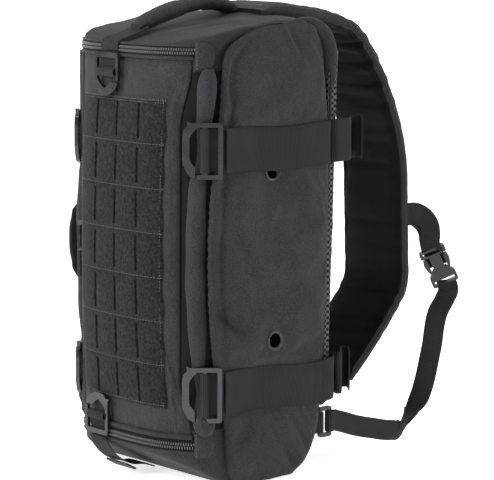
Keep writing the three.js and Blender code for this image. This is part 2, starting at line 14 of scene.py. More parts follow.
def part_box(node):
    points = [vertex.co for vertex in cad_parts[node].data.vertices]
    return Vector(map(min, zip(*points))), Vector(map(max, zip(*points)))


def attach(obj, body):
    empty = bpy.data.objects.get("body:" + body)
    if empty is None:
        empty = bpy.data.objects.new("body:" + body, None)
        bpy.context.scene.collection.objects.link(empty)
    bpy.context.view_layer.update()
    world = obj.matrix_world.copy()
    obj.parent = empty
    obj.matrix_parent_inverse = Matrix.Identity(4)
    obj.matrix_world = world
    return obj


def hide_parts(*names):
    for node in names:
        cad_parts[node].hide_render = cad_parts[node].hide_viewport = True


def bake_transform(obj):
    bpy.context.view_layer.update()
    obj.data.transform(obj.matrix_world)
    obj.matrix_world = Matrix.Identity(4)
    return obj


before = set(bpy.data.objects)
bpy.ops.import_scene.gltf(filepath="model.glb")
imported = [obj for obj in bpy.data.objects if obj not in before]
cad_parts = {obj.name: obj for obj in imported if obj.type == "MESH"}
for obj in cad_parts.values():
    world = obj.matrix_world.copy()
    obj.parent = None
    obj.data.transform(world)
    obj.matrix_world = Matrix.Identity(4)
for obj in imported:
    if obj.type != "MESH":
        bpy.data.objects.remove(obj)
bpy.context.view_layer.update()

bl_info = {
    "name": "Sling Pack Dressing",
    "version": (1, 0, 0),
    "blender": (4, 5, 0),
    "location": "3D View > Sidebar > Sling Pack",
    "description": "Builds the fabric, webbing, zips and finishes of a trauma sling pack around its frame",
    "category": "Object",
}

# ---- driving sizes, in millimetres ----
MM = 0.001
FRONT_Y = -119.0  # foremost line of the door
FRONT_MID_Z = 270.0
FRONT_REACH = 178.0
FRONT_SAG = 6.4
FRONT_TURN = 1.1e-3
FRONT_TURN3 = 7.4e-7
LIP_LINE = FRONT_MID_Z + FRONT_REACH
DOOR_Z = (57.0, 498.0)
SHELL_HALF = 111.0
LOBE_THICK = 9.6
LOOP_ROW = 50.8
LOOP_COLUMN = 38.1
LOOP_BOTTOM = 92.2
SIDE_WEB = 50.8
FRONT_WEB = 31.8
THIN_WEB = 25.4
WEB = 1.8
SIDE_STRAP_Z = {"upper": 391.5, "lower": 111.5}
HOOK_AZIMUTH = math.radians(50)
HOOK_START = (99.0, -101.0)
STRAP_X = SHELL_HALF + LOBE_THICK + 0.8 + WEB / 2
X_AXIS, Y_AXIS, Z_AXIS = np.eye(3)
CAMERA_AZIMUTH = 49.0
CAMERA_ELEVATION = 8.09
CAMERA_ROLL = 0.28


def back_y(z):
    """The back wall leans away from the front by 28 mm in each metre of height."""
    return 96.0 + (np.asarray(z, float) - 50.0) * 0.028


def step(value, low, high):
    """Smooth rise from 0 at low to 1 at high."""
    t = np.clip((value - low) / (high - low), 0.0, 1.0)
    return t * t * (3.0 - 2.0 * t)


def bump(a, b, centre, size, turn=0.0):
    """Bell of height 1 over (a, b), with its half sizes along axes turned by `turn` degrees."""
    c, s = math.cos(math.radians(turn)), math.sin(math.radians(turn))
    da, db = a - centre[0], b - centre[1]
    u, v = (c * da + s * db) / size[0], (-s * da + c * db) / size[1]
    return np.exp(-(u * u + v * v))


def ripple(a, b, pitch, seed):
    """Quiet unevenness of hand-sewn cloth: five sine waves in different directions, summed, near -1 to 1."""
    draw = np.random.default_rng(seed)
    angle, phase = draw.uniform(0, math.tau, 5), draw.uniform(0, math.tau, 5)
    rate = math.tau / (pitch * draw.uniform(0.6, 1.6, 5))
    waves = np.sin(
        np.multiply.outer(a, np.cos(angle) * rate) + np.multiply.outer(b, np.sin(angle) * rate) + phase
    )
    return waves.sum(-1) / 5


# ---- paths ----
def resample(curve, count):
    """The same curve with `count` points spaced evenly along its length."""
    reach = np.concatenate([[0.0], np.cumsum(np.linalg.norm(np.diff(curve, axis=0), axis=1))])
    at = np.linspace(0.0, reach[-1], count)
    return np.stack([np.interp(at, reach, curve[:, k]) for k in range(curve.shape[1])], -1)


def smooth_path(points, count):
    """Cubic curve through points: Hermite pieces over chord length, with centred differences as slopes."""
    p = np.asarray(points, float)
    t = np.concatenate([[0.0], np.cumsum(np.linalg.norm(np.diff(p, axis=0), axis=1))])
    slope = np.gradient(p, t, axis=0)
    fine = np.linspace(0.0, t[-1], 24 * len(p))
    k = np.clip(np.searchsorted(t, fine, side="right") - 1, 0, len(t) - 2)
    gap = (t[k + 1] - t[k])[:, None]
    x = (fine - t[k])[:, None] / gap
    curve = (2 * x**3 - 3 * x**2 + 1) * p[k] + (x**3 - 2 * x**2 + x) * gap * slope[k]
    curve += (3 * x**2 - 2 * x**3) * p[k + 1] + (x**3 - x**2) * gap * slope[k + 1]
    return resample(curve, count)


def unit(vectors):
    return vectors / np.maximum(np.linalg.norm(vectors, axis=-1, keepdims=True), 1e-9)


def front_curve(s):
    """Plan of the front at the lip line: at arc length s it has turned by FRONT_TURN s + FRONT_TURN3 s^3."""
    t = np.multiply.outer(s, (np.arange(24) + 0.5) / 24)
    angle = FRONT_TURN * t + FRONT_TURN3 * t**3
    x = np.cos(angle).mean(-1) * s
    y = FRONT_Y + FRONT_SAG + np.sin(angle).mean(-1) * s
    return np.stack([x, y], -1)


def plan_line():
    """Plan of the pack's front and both front corners, one smooth line from side to side."""
    middle = front_curve(np.arange(0, 85, 6.0))
    corner = np.array([(97.6, -89.6), (103.6, -83.4), (108.0, -77.0), (110.6, -69.6), (111.5, -61.0),
        (111.6, -46.0)])
    right = np.concatenate([middle, corner])
    left = right[:0:-1] * (-1, 1)
    return smooth_path(np.concatenate([left, right]), 500)


PLAN = plan_line()
PLAN_S = np.concatenate([[0.0], np.cumsum(np.linalg.norm(np.diff(PLAN, axis=0), axis=1))])
PLAN_S -= PLAN_S[-1] / 2
PLAN_OUT = unit(np.gradient(PLAN, axis=0))[:, ::-1] * (1, -1)


def wrap_point(s, z, out=0.0, level=None):
    """Point on the front and its corners at arc length s from the middle, height z, pushed out by `out`.

    The front falls back with the square of the height from its fullest line, less and less round the corners.
    With a `level`, it falls back as it does at that height.
    """
    s, z, out = np.broadcast_arrays(np.asarray(s, float), np.asarray(z, float), np.asarray(out, float))
    x, y = np.interp(s, PLAN_S, PLAN[:, 0]), np.interp(s, PLAN_S, PLAN[:, 1])
    nx, ny = np.interp(s, PLAN_S, PLAN_OUT[:, 0]), np.interp(s, PLAN_S, PLAN_OUT[:, 1])
    height = z if level is None else np.full(z.shape, level)
    sag = FRONT_SAG * (np.minimum(np.abs(height - FRONT_MID_Z) / FRONT_REACH, 1.12) ** 2 - 1)
    y = y + sag * (1 - step(np.abs(s), 76, 104))
    return np.stack([x + nx * out, y + ny * out, z], -1)


# ---- surfaces ----
def wound(vertices, faces):
    """The faces turned to point outwards: their signed volume is made positive."""
    p = vertices[faces]
    volume = np.einsum("ij,ij->i", p[:, 0], np.cross(p[:, 1], p[:, 2])).sum()
    volume += np.einsum("ij,ij->i", p[:, 0], np.cross(p[:, 2], p[:, 3])).sum()
    return faces if volume > 0 else faces[:, ::-1]


def grid_faces(rows, columns, round_rows=False, round_columns=False):
    i = np.arange(rows if round_rows else rows - 1)[:, None]
    j = np.arange(columns if round_columns else columns - 1)[None, :]
    i2, j2 = (i + 1) % rows, (j + 1) % columns
    corners = [i * columns + j, i2 * columns + j, i2 * columns + j2, i * columns + j2]
    return np.stack([np.broadcast_to(c, (i.size, j.size)) for c in corners], -1).reshape(-1, 4)


def slab(front, back, uv=None):
    """Closed body between two grids of the same size, joined round their four edges."""
    rows, columns = front.shape[:2]
    count = rows * columns
    vertices = np.concatenate([front.reshape(-1, 3), back.reshape(-1, 3)])
    faces = grid_faces(rows, columns)
    index = np.arange(count).reshape(rows, columns)
    rim = np.concatenate([index[0], index[1:, -1], index[-1, -2::-1], index[-2:0:-1, 0]])
    rim2 = np.roll(rim, -1)
    sides = np.stack([rim, rim2, rim2 + count, rim + count], -1)
    faces = np.concatenate([faces, faces[:, ::-1] + count, sides])
    uv = np.zeros((rows, columns, 2)) if uv is None else uv
    return vertices, wound(vertices, faces), np.concatenate([uv.reshape(-1, 2)] * 2)


def tube(rings, uv=None):
    """Closed body through rings of points, its ends closed by strips across the first and last ring."""
    rows, columns = rings.shape[:2]
    vertices = rings.reshape(-1, 3)
    faces = grid_faces(rows, columns, round_columns=True)
    half = columns // 2
    k = np.arange(half - 1)
    strip = np.stack([k, k + 1, columns - 2 - k, columns - 1 - k], -1)
    faces = np.concatenate([faces, strip, strip[:, ::-1] + (rows - 1) * columns])
    uv = np.zeros((rows, columns, 2)) if uv is None else uv
    return vertices, wound(vertices, faces), uv.reshape(-1, 2)


def stadium(width, thickness, points=20, edge=0.22, face=0.7):
    """Profile of a flat strap: a superellipse, x = cos^edge and y = sin^face of the angle round it."""
    a = (np.arange(points) + 0.5) / points * math.tau
    c, s = np.cos(a), np.sin(a)
    return np.stack([np.sign(c) * np.abs(c) ** edge * width / 2,
        np.sign(s) * np.abs(s) ** face * thickness / 2], -1)


def sweep(path, across, profile):
    """A profile carried along a path. Its first size runs along `across`, made square to the path."""
    along = unit(np.gradient(path, axis=0))
    wide = np.broadcast_to(np.asarray(across, float), path.shape)
    wide = unit(wide - along * np.sum(wide * along, -1, keepdims=True))
    up = np.cross(along, wide)
    profile = np.broadcast_to(profile, (len(path),) + profile.shape[-2:])
    rings = path[:, None] + wide[:, None] * profile[..., :1] + up[:, None] * profile[..., 1:]
    reach = np.concatenate([[0.0], np.cumsum(np.linalg.norm(np.diff(path, axis=0), axis=1))])
    uv = np.stack([np.broadcast_to(reach[:, None], rings.shape[:2]), profile[..., 0]], -1) * MM
    return tube(rings, uv)


def blend_across(points, count):
    """Directions between the given ones, spaced evenly in count."""
    p = np.asarray(points, float)
    at = np.linspace(0, len(p) - 1, count)
    return unit(np.stack([np.interp(at, np.arange(len(p)), p[:, k]) for k in range(3)], -1))


def strap_shape(points, across, width, count=40, thickness=WEB, profile=None):
    """Webbing along a smooth path, with its edges rounded as a woven selvedge is."""
    path = smooth_path(points, count)
    across = np.asarray(across, float)
    if across.ndim == 2:
        across = blend_across(across, count)
    return sweep(path, across, stadium(width, thickness) if profile is None else profile)


def beads(centres, along, across, size, rings=5, spokes=6):
    """Many small ellipsoids at once: size is their half length along, across and up."""
    centres = np.asarray(centres, float).reshape(-1, 3)
    along = unit(np.broadcast_to(along, centres.shape))
    across = np.broadcast_to(across, centres.shape)
    across = unit(across - along * np.sum(across * along, -1, keepdims=True))
    up = np.cross(along, across)
    t = np.linspace(0.12, math.pi - 0.12, rings)[:, None]
    a = np.arange(spokes) / spokes * math.tau
    ball = np.stack([np.cos(t) + 0 * a, np.sin(t) * np.cos(a), np.sin(t) * np.sin(a)], -1).reshape(-1,
        3) * size
    vertices = centres[:, None] + sum(ball[None, :, k : k + 1] * axis[:, None] for k,
        axis in enumerate((along, across, up)))
    faces = grid_faces(rings, spokes, round_columns=True)
    k = np.arange(spokes // 2 - 1)
    cap = np.stack([k, k + 1, spokes - 2 - k, spokes - 1 - k], -1)
    one = np.concatenate([faces, cap, cap[:, ::-1] + (rings - 1) * spokes])
    one = wound(vertices[0], one)
    faces = (one[None] + np.arange(len(centres))[:, None, None] * len(ball)).reshape(-1, 4)
    return vertices.reshape(-1, 3), faces, np.zeros((len(centres) * len(ball), 2))


def stitches(path, out, pitch=3.6, length=2.2, thick=0.34):
    """A row of sewing: one small thread bead for each stitch along the path, proud of the cloth."""
    reach = np.linalg.norm(np.diff(path, axis=0), axis=1).sum()
    at = resample(path, max(int(reach / pitch), 3))
    along = np.gradient(at, axis=0)
    out = np.broadcast_to(out, at.shape) if np.ndim(out) == 1 else resample(out, len(at))
    return beads(at, along, np.cross(along, out), (length / 2, thick, thick))


def joined(shapes):
    """Several bodies as one set of arrays."""
    offsets = np.cumsum([0] + [len(s[0]) for s in shapes])
    vertices = np.concatenate([s[0] for s in shapes])
    faces = np.concatenate([s[1] + k for s, k in zip(shapes, offsets)])
    return vertices, faces, np.concatenate([s[2] for s in shapes])


def mirrored(shape):
    vertices, faces, uv = shape
    return vertices * (-1, 1, 1), faces[:, ::-1], uv


def piece(name, shapes, finish, body, replaces=(), crease=50.0):
    """A finished object from numpy bodies, riding on a CAD body."""
    vertices, faces, uv = joined(shapes if isinstance(shapes, list) else [shapes])
    mesh = bpy.data.meshes.new(name)
    mesh.from_pydata((vertices * MM).tolist(), [], faces.tolist())
    layer = mesh.uv_layers.new(name="UVMap")
    corner = np.zeros(len(mesh.loops), np.int64)
    mesh.loops.foreach_get("vertex_index", corner)
    layer.data.foreach_set("uv", uv[corner].astype(np.float32).ravel())
    mesh.shade_smooth()
    mesh.set_sharp_from_angle(angle=math.radians(crease))
    mesh.materials.append(finish)
    obj = bpy.data.objects.new(name, mesh)
    bpy.context.scene.collection.objects.link(obj)
    if body:
        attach(obj, body)
    if replaces:
        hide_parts(*replaces)
    return obj


def points_of(obj):
    co = np.zeros(len(obj.data.vertices) * 3)
    obj.data.vertices.foreach_get("co", co)
    return co.reshape(-1, 3)


def settle(obj, held, pressure, ease, limit, frames=14):
    """Lets the cloth find its own shape: Blender's cloth under air pressure, gravity off, held at the seams.

    `held` is 1 for each vertex that is sewn down, `ease` is how much longer the cloth is than drawn,
    and no point ends further than `limit` millimetres from where it was drawn.
    """
    rest = points_of(obj)
    group = obj.vertex_groups.new(name="held")
    group.add(np.flatnonzero(held).tolist(), 1.0, "REPLACE")
    cloth = obj.modifiers.new("fabric", "CLOTH")
    settings = cloth.settings
    settings.quality = 6
    settings.mass = 0.25
    settings.tension_stiffness = settings.compression_stiffness = 12
    settings.shear_stiffness = 6
    settings.bending_stiffness = 1.5
    settings.use_pressure = True
    settings.uniform_pressure_force = pressure
    settings.shrink_min = settings.shrink_max = -ease
    settings.vertex_group_mass = "held"
    settings.effector_weights.gravity = 0
    scene = bpy.context.scene
    for number in range(1, frames + 1):
        scene.frame_set(number)
    shaped = obj.evaluated_get(bpy.context.evaluated_depsgraph_get())
    moved = points_of(shaped) - rest
    far = np.linalg.norm(moved, axis=1, keepdims=True)
    moved *= np.minimum(1.0, limit * MM / np.maximum(far, 1e-9))
    obj.modifiers.remove(cloth)
    obj.vertex_groups.remove(group)
    obj.data.vertices.foreach_set("co", (rest + moved).ravel())
    obj.data.update()
    scene.frame_set(1)


# ---- finishes ----
class Value:
    """A shader socket that adds Math nodes when it is used in an expression."""

    def __init__(self, finish, socket):
        self.finish = finish
        self.socket = socket

    def __add__(self, other):
        return self.finish.maths("ADD", self, other)

    __radd__ = __add__

    def __sub__(self, other):
        return self.finish.maths("SUBTRACT", self, other)

    def __rsub__(self, other):
        return self.finish.maths("SUBTRACT", other, self)

    def __mul__(self, other):
        return self.finish.maths("MULTIPLY", self, other)

    __rmul__ = __mul__


class Finish:
    """One procedural material: a Principled shader and the expressions that feed it."""

    def __init__(self, name):
        self.material = bpy.data.materials.new(name)
        self.material.use_nodes = True
        self.nodes = self.material.node_tree.nodes
        self.links = self.material.node_tree.links
        self.nodes.clear()
        self.shader = self.nodes.new("ShaderNodeBsdfPrincipled")
        output = self.nodes.new("ShaderNodeOutputMaterial")
        self.links.new(self.shader.outputs["BSDF"], output.inputs["Surface"])

    def node(self, kind, settings=None, inputs=None, output=0):
        """Any node: its settings are set first, then the values or links of its sockets."""
        node = self.nodes.new(kind)
        for key, value in (settings or {}).items():
            setattr(node, key, value)
        for key, value in (inputs or {}).items():
            self.feed(node.inputs[key], value)
        return Value(self, node.outputs[output])

    def feed(self, socket, value):
        if isinstance(value, Value):
            self.links.new(value.socket, socket)
        else:
            socket.default_value = value

    def maths(self, operation, *values):
        return self.node("ShaderNodeMath", {"operation": operation}, dict(enumerate(values)))

    def mix(self, factor, a, b):
        """Colour between a and b."""
        return self.node(
            "ShaderNodeMix", {"data_type": "RGBA"}, {0: factor, 6: (*a, 1.0), 7: (*b, 1.0)}, output=2
        )

    def noise(self, scale, detail=2.0, coordinates=None):
        inputs = {"Scale": scale, "Detail": detail}
        if coordinates is not None:
            inputs["Vector"] = coordinates
        return self.node("ShaderNodeTexNoise", inputs=inputs)

    def place(self):
        """Object coordinates as a vector, and as three numbers in millimetres."""
        where = self.node("ShaderNodeTexCoord", output="Object")
        parts = [self.node("ShaderNodeSeparateXYZ", inputs={0: where}, output=k) * 1000.0 for k in range(3)]
        return where, parts

    def lengthways(self):
        """Distance along and across a strap, in millimetres, from its own map."""
        where = self.node("ShaderNodeUVMap", {"uv_map": "UVMap"})
        parts = [self.node("ShaderNodeSeparateXYZ", inputs={0: where}, output=k) * 1000.0 for k in range(2)]
        return where, parts

    def wave(self, value, pitch):
        """Sine of a distance with the given pitch, from -1 to 1."""
        return self.maths("SINE", value * (math.tau / pitch))

    def done(self, colour, roughness, height=None, distance=0.0003, strength=1.0, **constants):
        self.feed(self.shader.inputs["Base Color"], colour)
        self.feed(self.shader.inputs["Roughness"], roughness)
        if height is not None:
            normal = self.node("ShaderNodeBump", inputs={"Height": height, "Distance": distance,
                "Strength": strength})
            self.feed(self.shader.inputs["Normal"], normal)
        for key, value in constants.items():
            self.shader.inputs[key.replace("_", " ")].default_value = value
        return self.material


def shade(colour, factor):
    return tuple(c * factor for c in colour)


FINISHES = {}


def finish(name):
    """Each finish is made once, on first use."""
    if name not in FINISHES:
        FINISHES[name] = MAKERS[name](name)
    return FINISHES[name]


def woven_fabric(name):
    """Charcoal pack cloth: a plain weave over a quiet mottle, paler where threads stand up."""
    look = bpy.context.scene.sling_pack
    f = Finish(name)
    where, (x, y, z) = f.place()
    pitch = look.weave_pitch * 1000
    weave = f.wave(x, pitch) * f.wave(z, pitch) + f.wave(y, pitch) * f.wave(z, pitch) + f.wave(x,
        pitch) * f.wave(y, pitch)
    grain = f.noise(750.0, 3.0, where)
    mottle = f.noise(22.0, 3.0, where)
    tone = weave * 0.03 + grain * 1.9 + mottle * 0.5 - 0.7
    colour = f.mix(tone, shade(look.fabric_colour, 0.4), shade(look.fabric_colour, 1.65))
    return f.done(colour, grain * 0.2 + 0.68, weave * 0.08 + grain, 0.0007, 1.0, Specular_IOR_Level=0.12,
        Sheen_Weight=0.05, Sheen_Roughness=0.4)


def ribbed_webbing(name):
    """Nylon webbing: ribs across it and fine lengthwise threads; the denser selvedge is not drawn in the
    finish.
    """
    look = bpy.context.scene.sling_pack
    f = Finish(name)
    where, (along, across) = f.lengthways()
    ribs = f.wave(along, 1.9)
    threads = f.wave(across, 1.3)
    spot, _ = f.place()
    grain = f.noise(1100.0, 2.0, spot)
    wear = f.noise(30.0, 3.0, spot)
    tone = ribs * 0.2 + threads * 0.1 + grain * 0.6 + wear * 0.4 - 0.05
    colour = f.mix(tone, shade(look.webbing_colour, 0.5), shade(look.webbing_colour, 1.7))
    return f.done(colour, grain * 0.2 + 0.6, ribs * 0.8 + threads * 0.3 + grain * 0.4, 0.00035, 0.8,
        Specular_IOR_Level=0.14)


def loop_pile(name):
    """Brushed loop pile: clumps of fine fibre with pale ends."""
    look = bpy.context.scene.sling_pack
    f = Finish(name)
    where, _ = f.place()
    clumps = f.noise(330.0, 4.0, where)
    fibre = f.noise(1500.0, 2.0, where)
    mottle = f.noise(30.0, 2.0, where)
    tone = clumps * 2.4 + fibre * 0.9 + mottle * 0.4 - 1.4
    colour = f.mix(tone, shade(look.pile_colour, 0.35), shade(look.pile_colour, 1.9))
    return f.done(colour, fibre * 0.1 + 0.85, clumps + fibre * 0.6, 0.0009, 1.0, Specular_IOR_Level=0.05,
        Sheen_Weight=0.08, Sheen_Roughness=0.5)


def padded_cloth(name):
    """Darker, finer cloth of the shoulder strap and linings; also the near-black painted shade strips in the
    gaps beside the door.
    """
    look = bpy.context.scene.sling_pack
    f = Finish(name)
    where, (x, y, z) = f.place()
    weave = f.wave(x, 1.2) * f.wave(z + y, 1.2)
    grain = f.noise(1300.0, 2.0, where)
    creases = f.noise(90.0, 3.0, where)
    colour = f.mix(
        grain * 0.7 + creases * 0.5 + weave * 0.1 - 0.1, shade(look.strap_colour, 0.55),
        shade(look.strap_colour, 1.5)
    )
    return f.done(colour, grain * 0.15 + 0.72, weave * 0.4 + grain + creases * 2.0, 0.0004, 0.8,
        Specular_IOR_Level=0.1)


def air_mesh(name):
    """Spacer mesh: staggered round holes between pale, springy threads."""
    look = bpy.context.scene.sling_pack
    f = Finish(name)
    where, (x, y, z) = f.place()
    cells = f.wave(x + y, 8.4) * f.wave(z, 7.0)
    hole = f.node("ShaderNodeMapRange", inputs={"Value": cells, "From Min": 0.2, "From Max": -0.1})
    grain = f.noise(1200.0, 2.0, where)
    colour = f.mix(hole * (grain * 0.4 + 0.75), shade(look.mesh_colour, 0.06), shade(look.mesh_colour, 2.8))
    return f.done(colour, grain * 0.1 + 0.7, hole + grain * 0.2, 0.0014, 1.0, Specular_IOR_Level=0.15)


def ribbed_elastic(name):
    look = bpy.context.scene.sling_pack
    f = Finish(name)
    where, (along, across) = f.lengthways()
    ribs = f.wave(across, 1.6)
    grain = f.noise(900.0, 2.0, where)
    colour = f.mix(ribs * 0.3 + grain * 0.7, shade(look.webbing_colour, 0.8), shade(look.webbing_colour, 2.4))
    return f.done(colour, grain * 0.2 + 0.65, ribs + grain * 0.3, 0.0003, 0.8, Specular_IOR_Level=0.15)


def coated_metal(name):
    """Satin coated steel: a fine orange-peel skin, rubbed paler and smoother in patches."""
    look = bpy.context.scene.sling_pack
    f = Finish(name)
    where, _ = f.place()
    skin = f.noise(700.0, 2.0, where)
    rubbed = f.noise(70.0, 4.0, where)
    colour = f.mix(rubbed * 1.2 - 0.1, shade(look.metal_colour, 0.8), shade(look.metal_colour, 1.35))
    return f.done(colour, rubbed * 0.2 + 0.16, skin, 0.00006, 0.6, Metallic=0.85, Specular_IOR_Level=0.5)


def moulded_plastic(name):
    """Moulded acetal: a fine spark-eroded grain with smoother handled patches."""
    look = bpy.context.scene.sling_pack
    f = Finish(name)
    where, _ = f.place()
    grain = f.noise(1600.0, 2.0, where)
    handled = f.noise(60.0, 3.0, where)
    colour = f.mix(grain * 0.5 + handled * 0.5, shade(look.plastic_colour, 0.75),
        shade(look.plastic_colour, 1.5))
    return f.done(colour, handled * 0.25 + 0.28, grain, 0.0001, 0.6)


def coil_teeth(name):
    look = bpy.context.scene.sling_pack
    f = Finish(name)
    where, _ = f.place()
    grain = f.noise(500.0, 2.0, where)
    colour = f.mix(grain, shade(look.plastic_colour, 5.0), shade(look.plastic_colour, 12.0))
    return f.done(colour, grain * 0.15 + 0.25, grain, 0.0001, 0.5)


def sewing_thread(name):
    look = bpy.context.scene.sling_pack
    f = Finish(name)
    where, _ = f.place()
    twist = f.noise(2500.0, 2.0, where)
    colour = f.mix(twist, shade(look.thread_colour, 0.7), shade(look.thread_colour, 1.4))
    return f.done(colour, twist * 0.2 + 0.5, twist, 0.0001, 0.5)


def back_board(name):
    f = Finish(name)
    where, _ = f.place()
    grain = f.noise(260.0, 4.0, where)
    scuff = f.noise(40.0, 4.0, where)
    colour = f.mix(grain * 0.4 + scuff * 0.6, (0.035, 0.035, 0.036), (0.085, 0.085, 0.088))
    return f.done(colour, scuff * 0.3 + 0.35, grain, 0.0002, 0.5)


def dark_hole(name):
    """The unlit inside seen through an eyelet."""
    f = Finish(name)
    where, _ = f.place()
    grain = f.noise(400.0, 2.0, where)
    return f.done(f.mix(grain, (0.0006, 0.0006, 0.0006), (0.0016, 0.0016, 0.0016)), 1.0,
        Specular_IOR_Level=0.0)


def studio_paper(name):
    f = Finish(name)
    where, _ = f.place()
    tooth = f.noise(200.0, 2.0, where)
    colour = f.mix(tooth, (0.93, 0.93, 0.93), (0.96, 0.96, 0.96))
    return f.done(colour, 1.0, Emission_Color=(1, 1, 1, 1), Emission_Strength=0.68)


MAKERS = {
    "pack_fabric": woven_fabric,
    "webbing": ribbed_webbing,
    "loop_field": loop_pile,
    "strap_padding": padded_cloth,
    "lining": padded_cloth,
    "spacer_mesh": air_mesh,
    "elastic": ribbed_elastic,
    "hook_metal": coated_metal,
    "moulded_plastic": moulded_plastic,
    "zip_teeth": coil_teeth,
    "thread": sewing_thread,
    "board": back_board,
    "dark_hole": dark_hole,
    "paper": studio_paper,
}


# ---- the tub ----
def build_tub():
    """The tub's cloth: the frame's hollow tub on an even net, its corners eased and its top pleated."""
    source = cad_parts["main_shell"]
    obj = bpy.data.objects.new("tub_fabric", source.data.copy())
    bpy.context.scene.collection.objects.link(obj)
    obj.data.materials.clear()
    net = obj.modifiers.new("net", "REMESH")
    net.mode = "VOXEL"
    net.voxel_size = 0.0044
    ease = obj.modifiers.new("ease", "SMOOTH")
    ease.iterations = 6
    mesh = bpy.data.meshes.new_from_object(obj.evaluated_get(bpy.context.evaluated_depsgraph_get()))
    obj.modifiers.clear()
    obj.data = mesh
    mesh.name = "tub_fabric"
    mesh.materials.clear()
    mesh.materials.append(finish("pack_fabric"))
    p = points_of(obj) / MM
    x, y, z = p.T
    top = step(z, 496, 516) * (np.abs(x) < 108.5)
    pleat = 2.6 * bump(x, y, (86, 4), (7, 46), -22) - 4.2 * bump(x, y, (76, 0), (6, 50), -22)
    pleat += 2.0 * bump(x, y, (52, -10), (9, 44), -14) - 2.4 * bump(x, y, (34, -20), (10, 40), -8)
    pleat += 2.0 * bump(x, y, (-60, 0), (9, 44), 16) - 2.8 * bump(x, y, (-74, 0), (7, 46), 20)
    crown = 3.0 * bump(x, y, (0, -20), (90, 60)) + 9.0 * bump(x, y, (-10, 66), (88, 42)) + 0.7 * ripple(x, y,
        60, 3)
    crown -= 4.0 * bump(x, y, (0, 10), (24, 46))
    z = z + top * (pleat + crown)
    obj.data.vertices.foreach_set("co", (np.stack([x, y, z], -1) * MM).ravel())
    obj.data.shade_smooth()
    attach(obj, "pack")
    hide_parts("main_shell")


# ---- side lobes ----
LOBE_FRONT = [
    (-34, 1), (-41, 9), (-48, 40), (-56, 74), (-66, 110), (-73, 147), (-78, 188), (-81, 250), (-80.5, 300),
    (-77, 345), (-70, 392), (-64, 440), (-61, 480), (-57, 500), (-46, 511), (-30, 520), (-12, 527), (8, 532),
    (22, 533.4),
]
LOBE_BACK = [
    (56, 1), (70, 9), (82, 24), (92, 46), (98, 90), (102, 149), (106, 205), (108, 262), (108, 363),
    (107, 400),
    (104, 440), (100, 475), (95, 503), (90, 517), (84, 527), (78, 531), (70, 533.4),
]
EYELETS = [(17, 165), (20, 362)]  # (y, z) of each eyelet


def edge_at(points, z):
    line = smooth_path(points, 300)
    return np.interp(z, line[:, 1], line[:, 0])


def strap_rise(y):
    """How far a side strap stands from the tub's side at y: it dips where the lobe is slack."""
    return STRAP_X - 3.6 * np.exp(-(((y + 2) / 30) ** 2)) + 1.2 * np.exp(-(((y - 62) / 26) ** 2))


def lobe_shape():
    """Outside of one lobe as a height over (y, z): a quarter ellipse in from the outline, a rolled rim,
    a crown, straps that press it in, and the slack folds near the rim."""
    rows, columns = 170, 84
    v = np.linspace(0, 1, rows)
    z = (1.0 + 532.2 * (0.5 - 0.5 * np.cos(math.pi * v)) * 0.35 + 532.2 * v * 0.65)[:, None]
    u = np.linspace(-1, 1, columns)[None, :]
    u = 0.5 + 0.5 * (0.55 * u + 0.45 * np.sin(u * math.pi / 2))
    low, high = edge_at(LOBE_FRONT, z), edge_at(LOBE_BACK, z)
    y = low + (high - low) * u
    z = np.broadcast_to(z, y.shape)
    outline = np.concatenate([smooth_path(LOBE_FRONT, 260), smooth_path(LOBE_BACK, 260)[::-1]])
    gap = np.full(y.shape, 1e9)
    for near in np.array_split(outline, 26):
        away = np.hypot(y[..., None] - near[:, 0], z[..., None] - near[:, 1]).min(-1)
        gap = np.minimum(gap, away)
    ahead = 1 - step(y - low, 20, 60)
    rim = np.clip(gap / (14.0 - 5.0 * ahead), 0, 1)
    height = (LOBE_THICK - 0.6) * np.sqrt(1 - (1 - rim) ** 2) + 1.6
    height += 3.0 * step(gap, 12, 60)
    front_side = 1 - step(y - low, 18, 40)
    height += front_side * step(z, 120,
        200) * (1.6 * np.exp(-(((gap - 6) / 4) ** 2)) - 3.8 * np.exp(-(((gap - 17) / 6) ** 2)))
    folds = [
        (-7.2, (-52, 190), (25, 9), -44), (3.4, (-50, 170), (26, 8), -44), (-3.2, (-36, 279), (22, 9), -60),
        (1.8, (-30, 292), (20, 8), -60), (-4.6, (-8, 380), (30, 30), 0), (-8.0, (20, 358), (26, 16), 0),
        (-3.6, (44, 20), (26, 5), -52),
        (2.2, (54, 26), (26, 6), -52), (-2.6, (64, 40), (26, 5), -56), (-3.6, (46, 513), (16, 4), -62),
        (2.0, (38, 510), (16, 5), -62), (-2.4, (-30, 60), (22, 9), 60), (1.6, (-16, 52), (22, 8), 60),
        (-1.8, (20, 300), (60, 24), 8), (-2.2, (70, 150), (34, 20), -20), (-1.8, (-20, 440), (40, 10), 24),
    ]
    for depth, centre, size, turn in folds:
        height += depth * bump(y, z, centre, size, turn) * step(gap, 1, 10)
    height += 0.7 * ripple(y, z, 90, 5) * step(gap, 2, 16)
    for middle in SIDE_STRAP_Z.values():
        under = 1 - step(np.abs(z - middle), SIDE_WEB / 2 - 3, SIDE_WEB / 2 + 9)
        most = strap_rise(y) - SHELL_HALF - WEB / 2 - 0.5
        height = height + under * np.minimum(most - height, 0)
    height = np.where(gap < 0.5, 1.0, np.maximum(height, 1.0))
    x = SHELL_HALF + 0.3
    under = 9.0 * ahead * (1 - np.clip(height / LOBE_THICK, 0, 1)) ** 1.5 * step(z, 30, 90)
    front = np.stack([x + height, y + under, z], -1)
    back = np.stack([np.full(y.shape, x), y + 9.0 * ahead * step(z, 30, 90), z], -1)
    return slab(front, back), gap


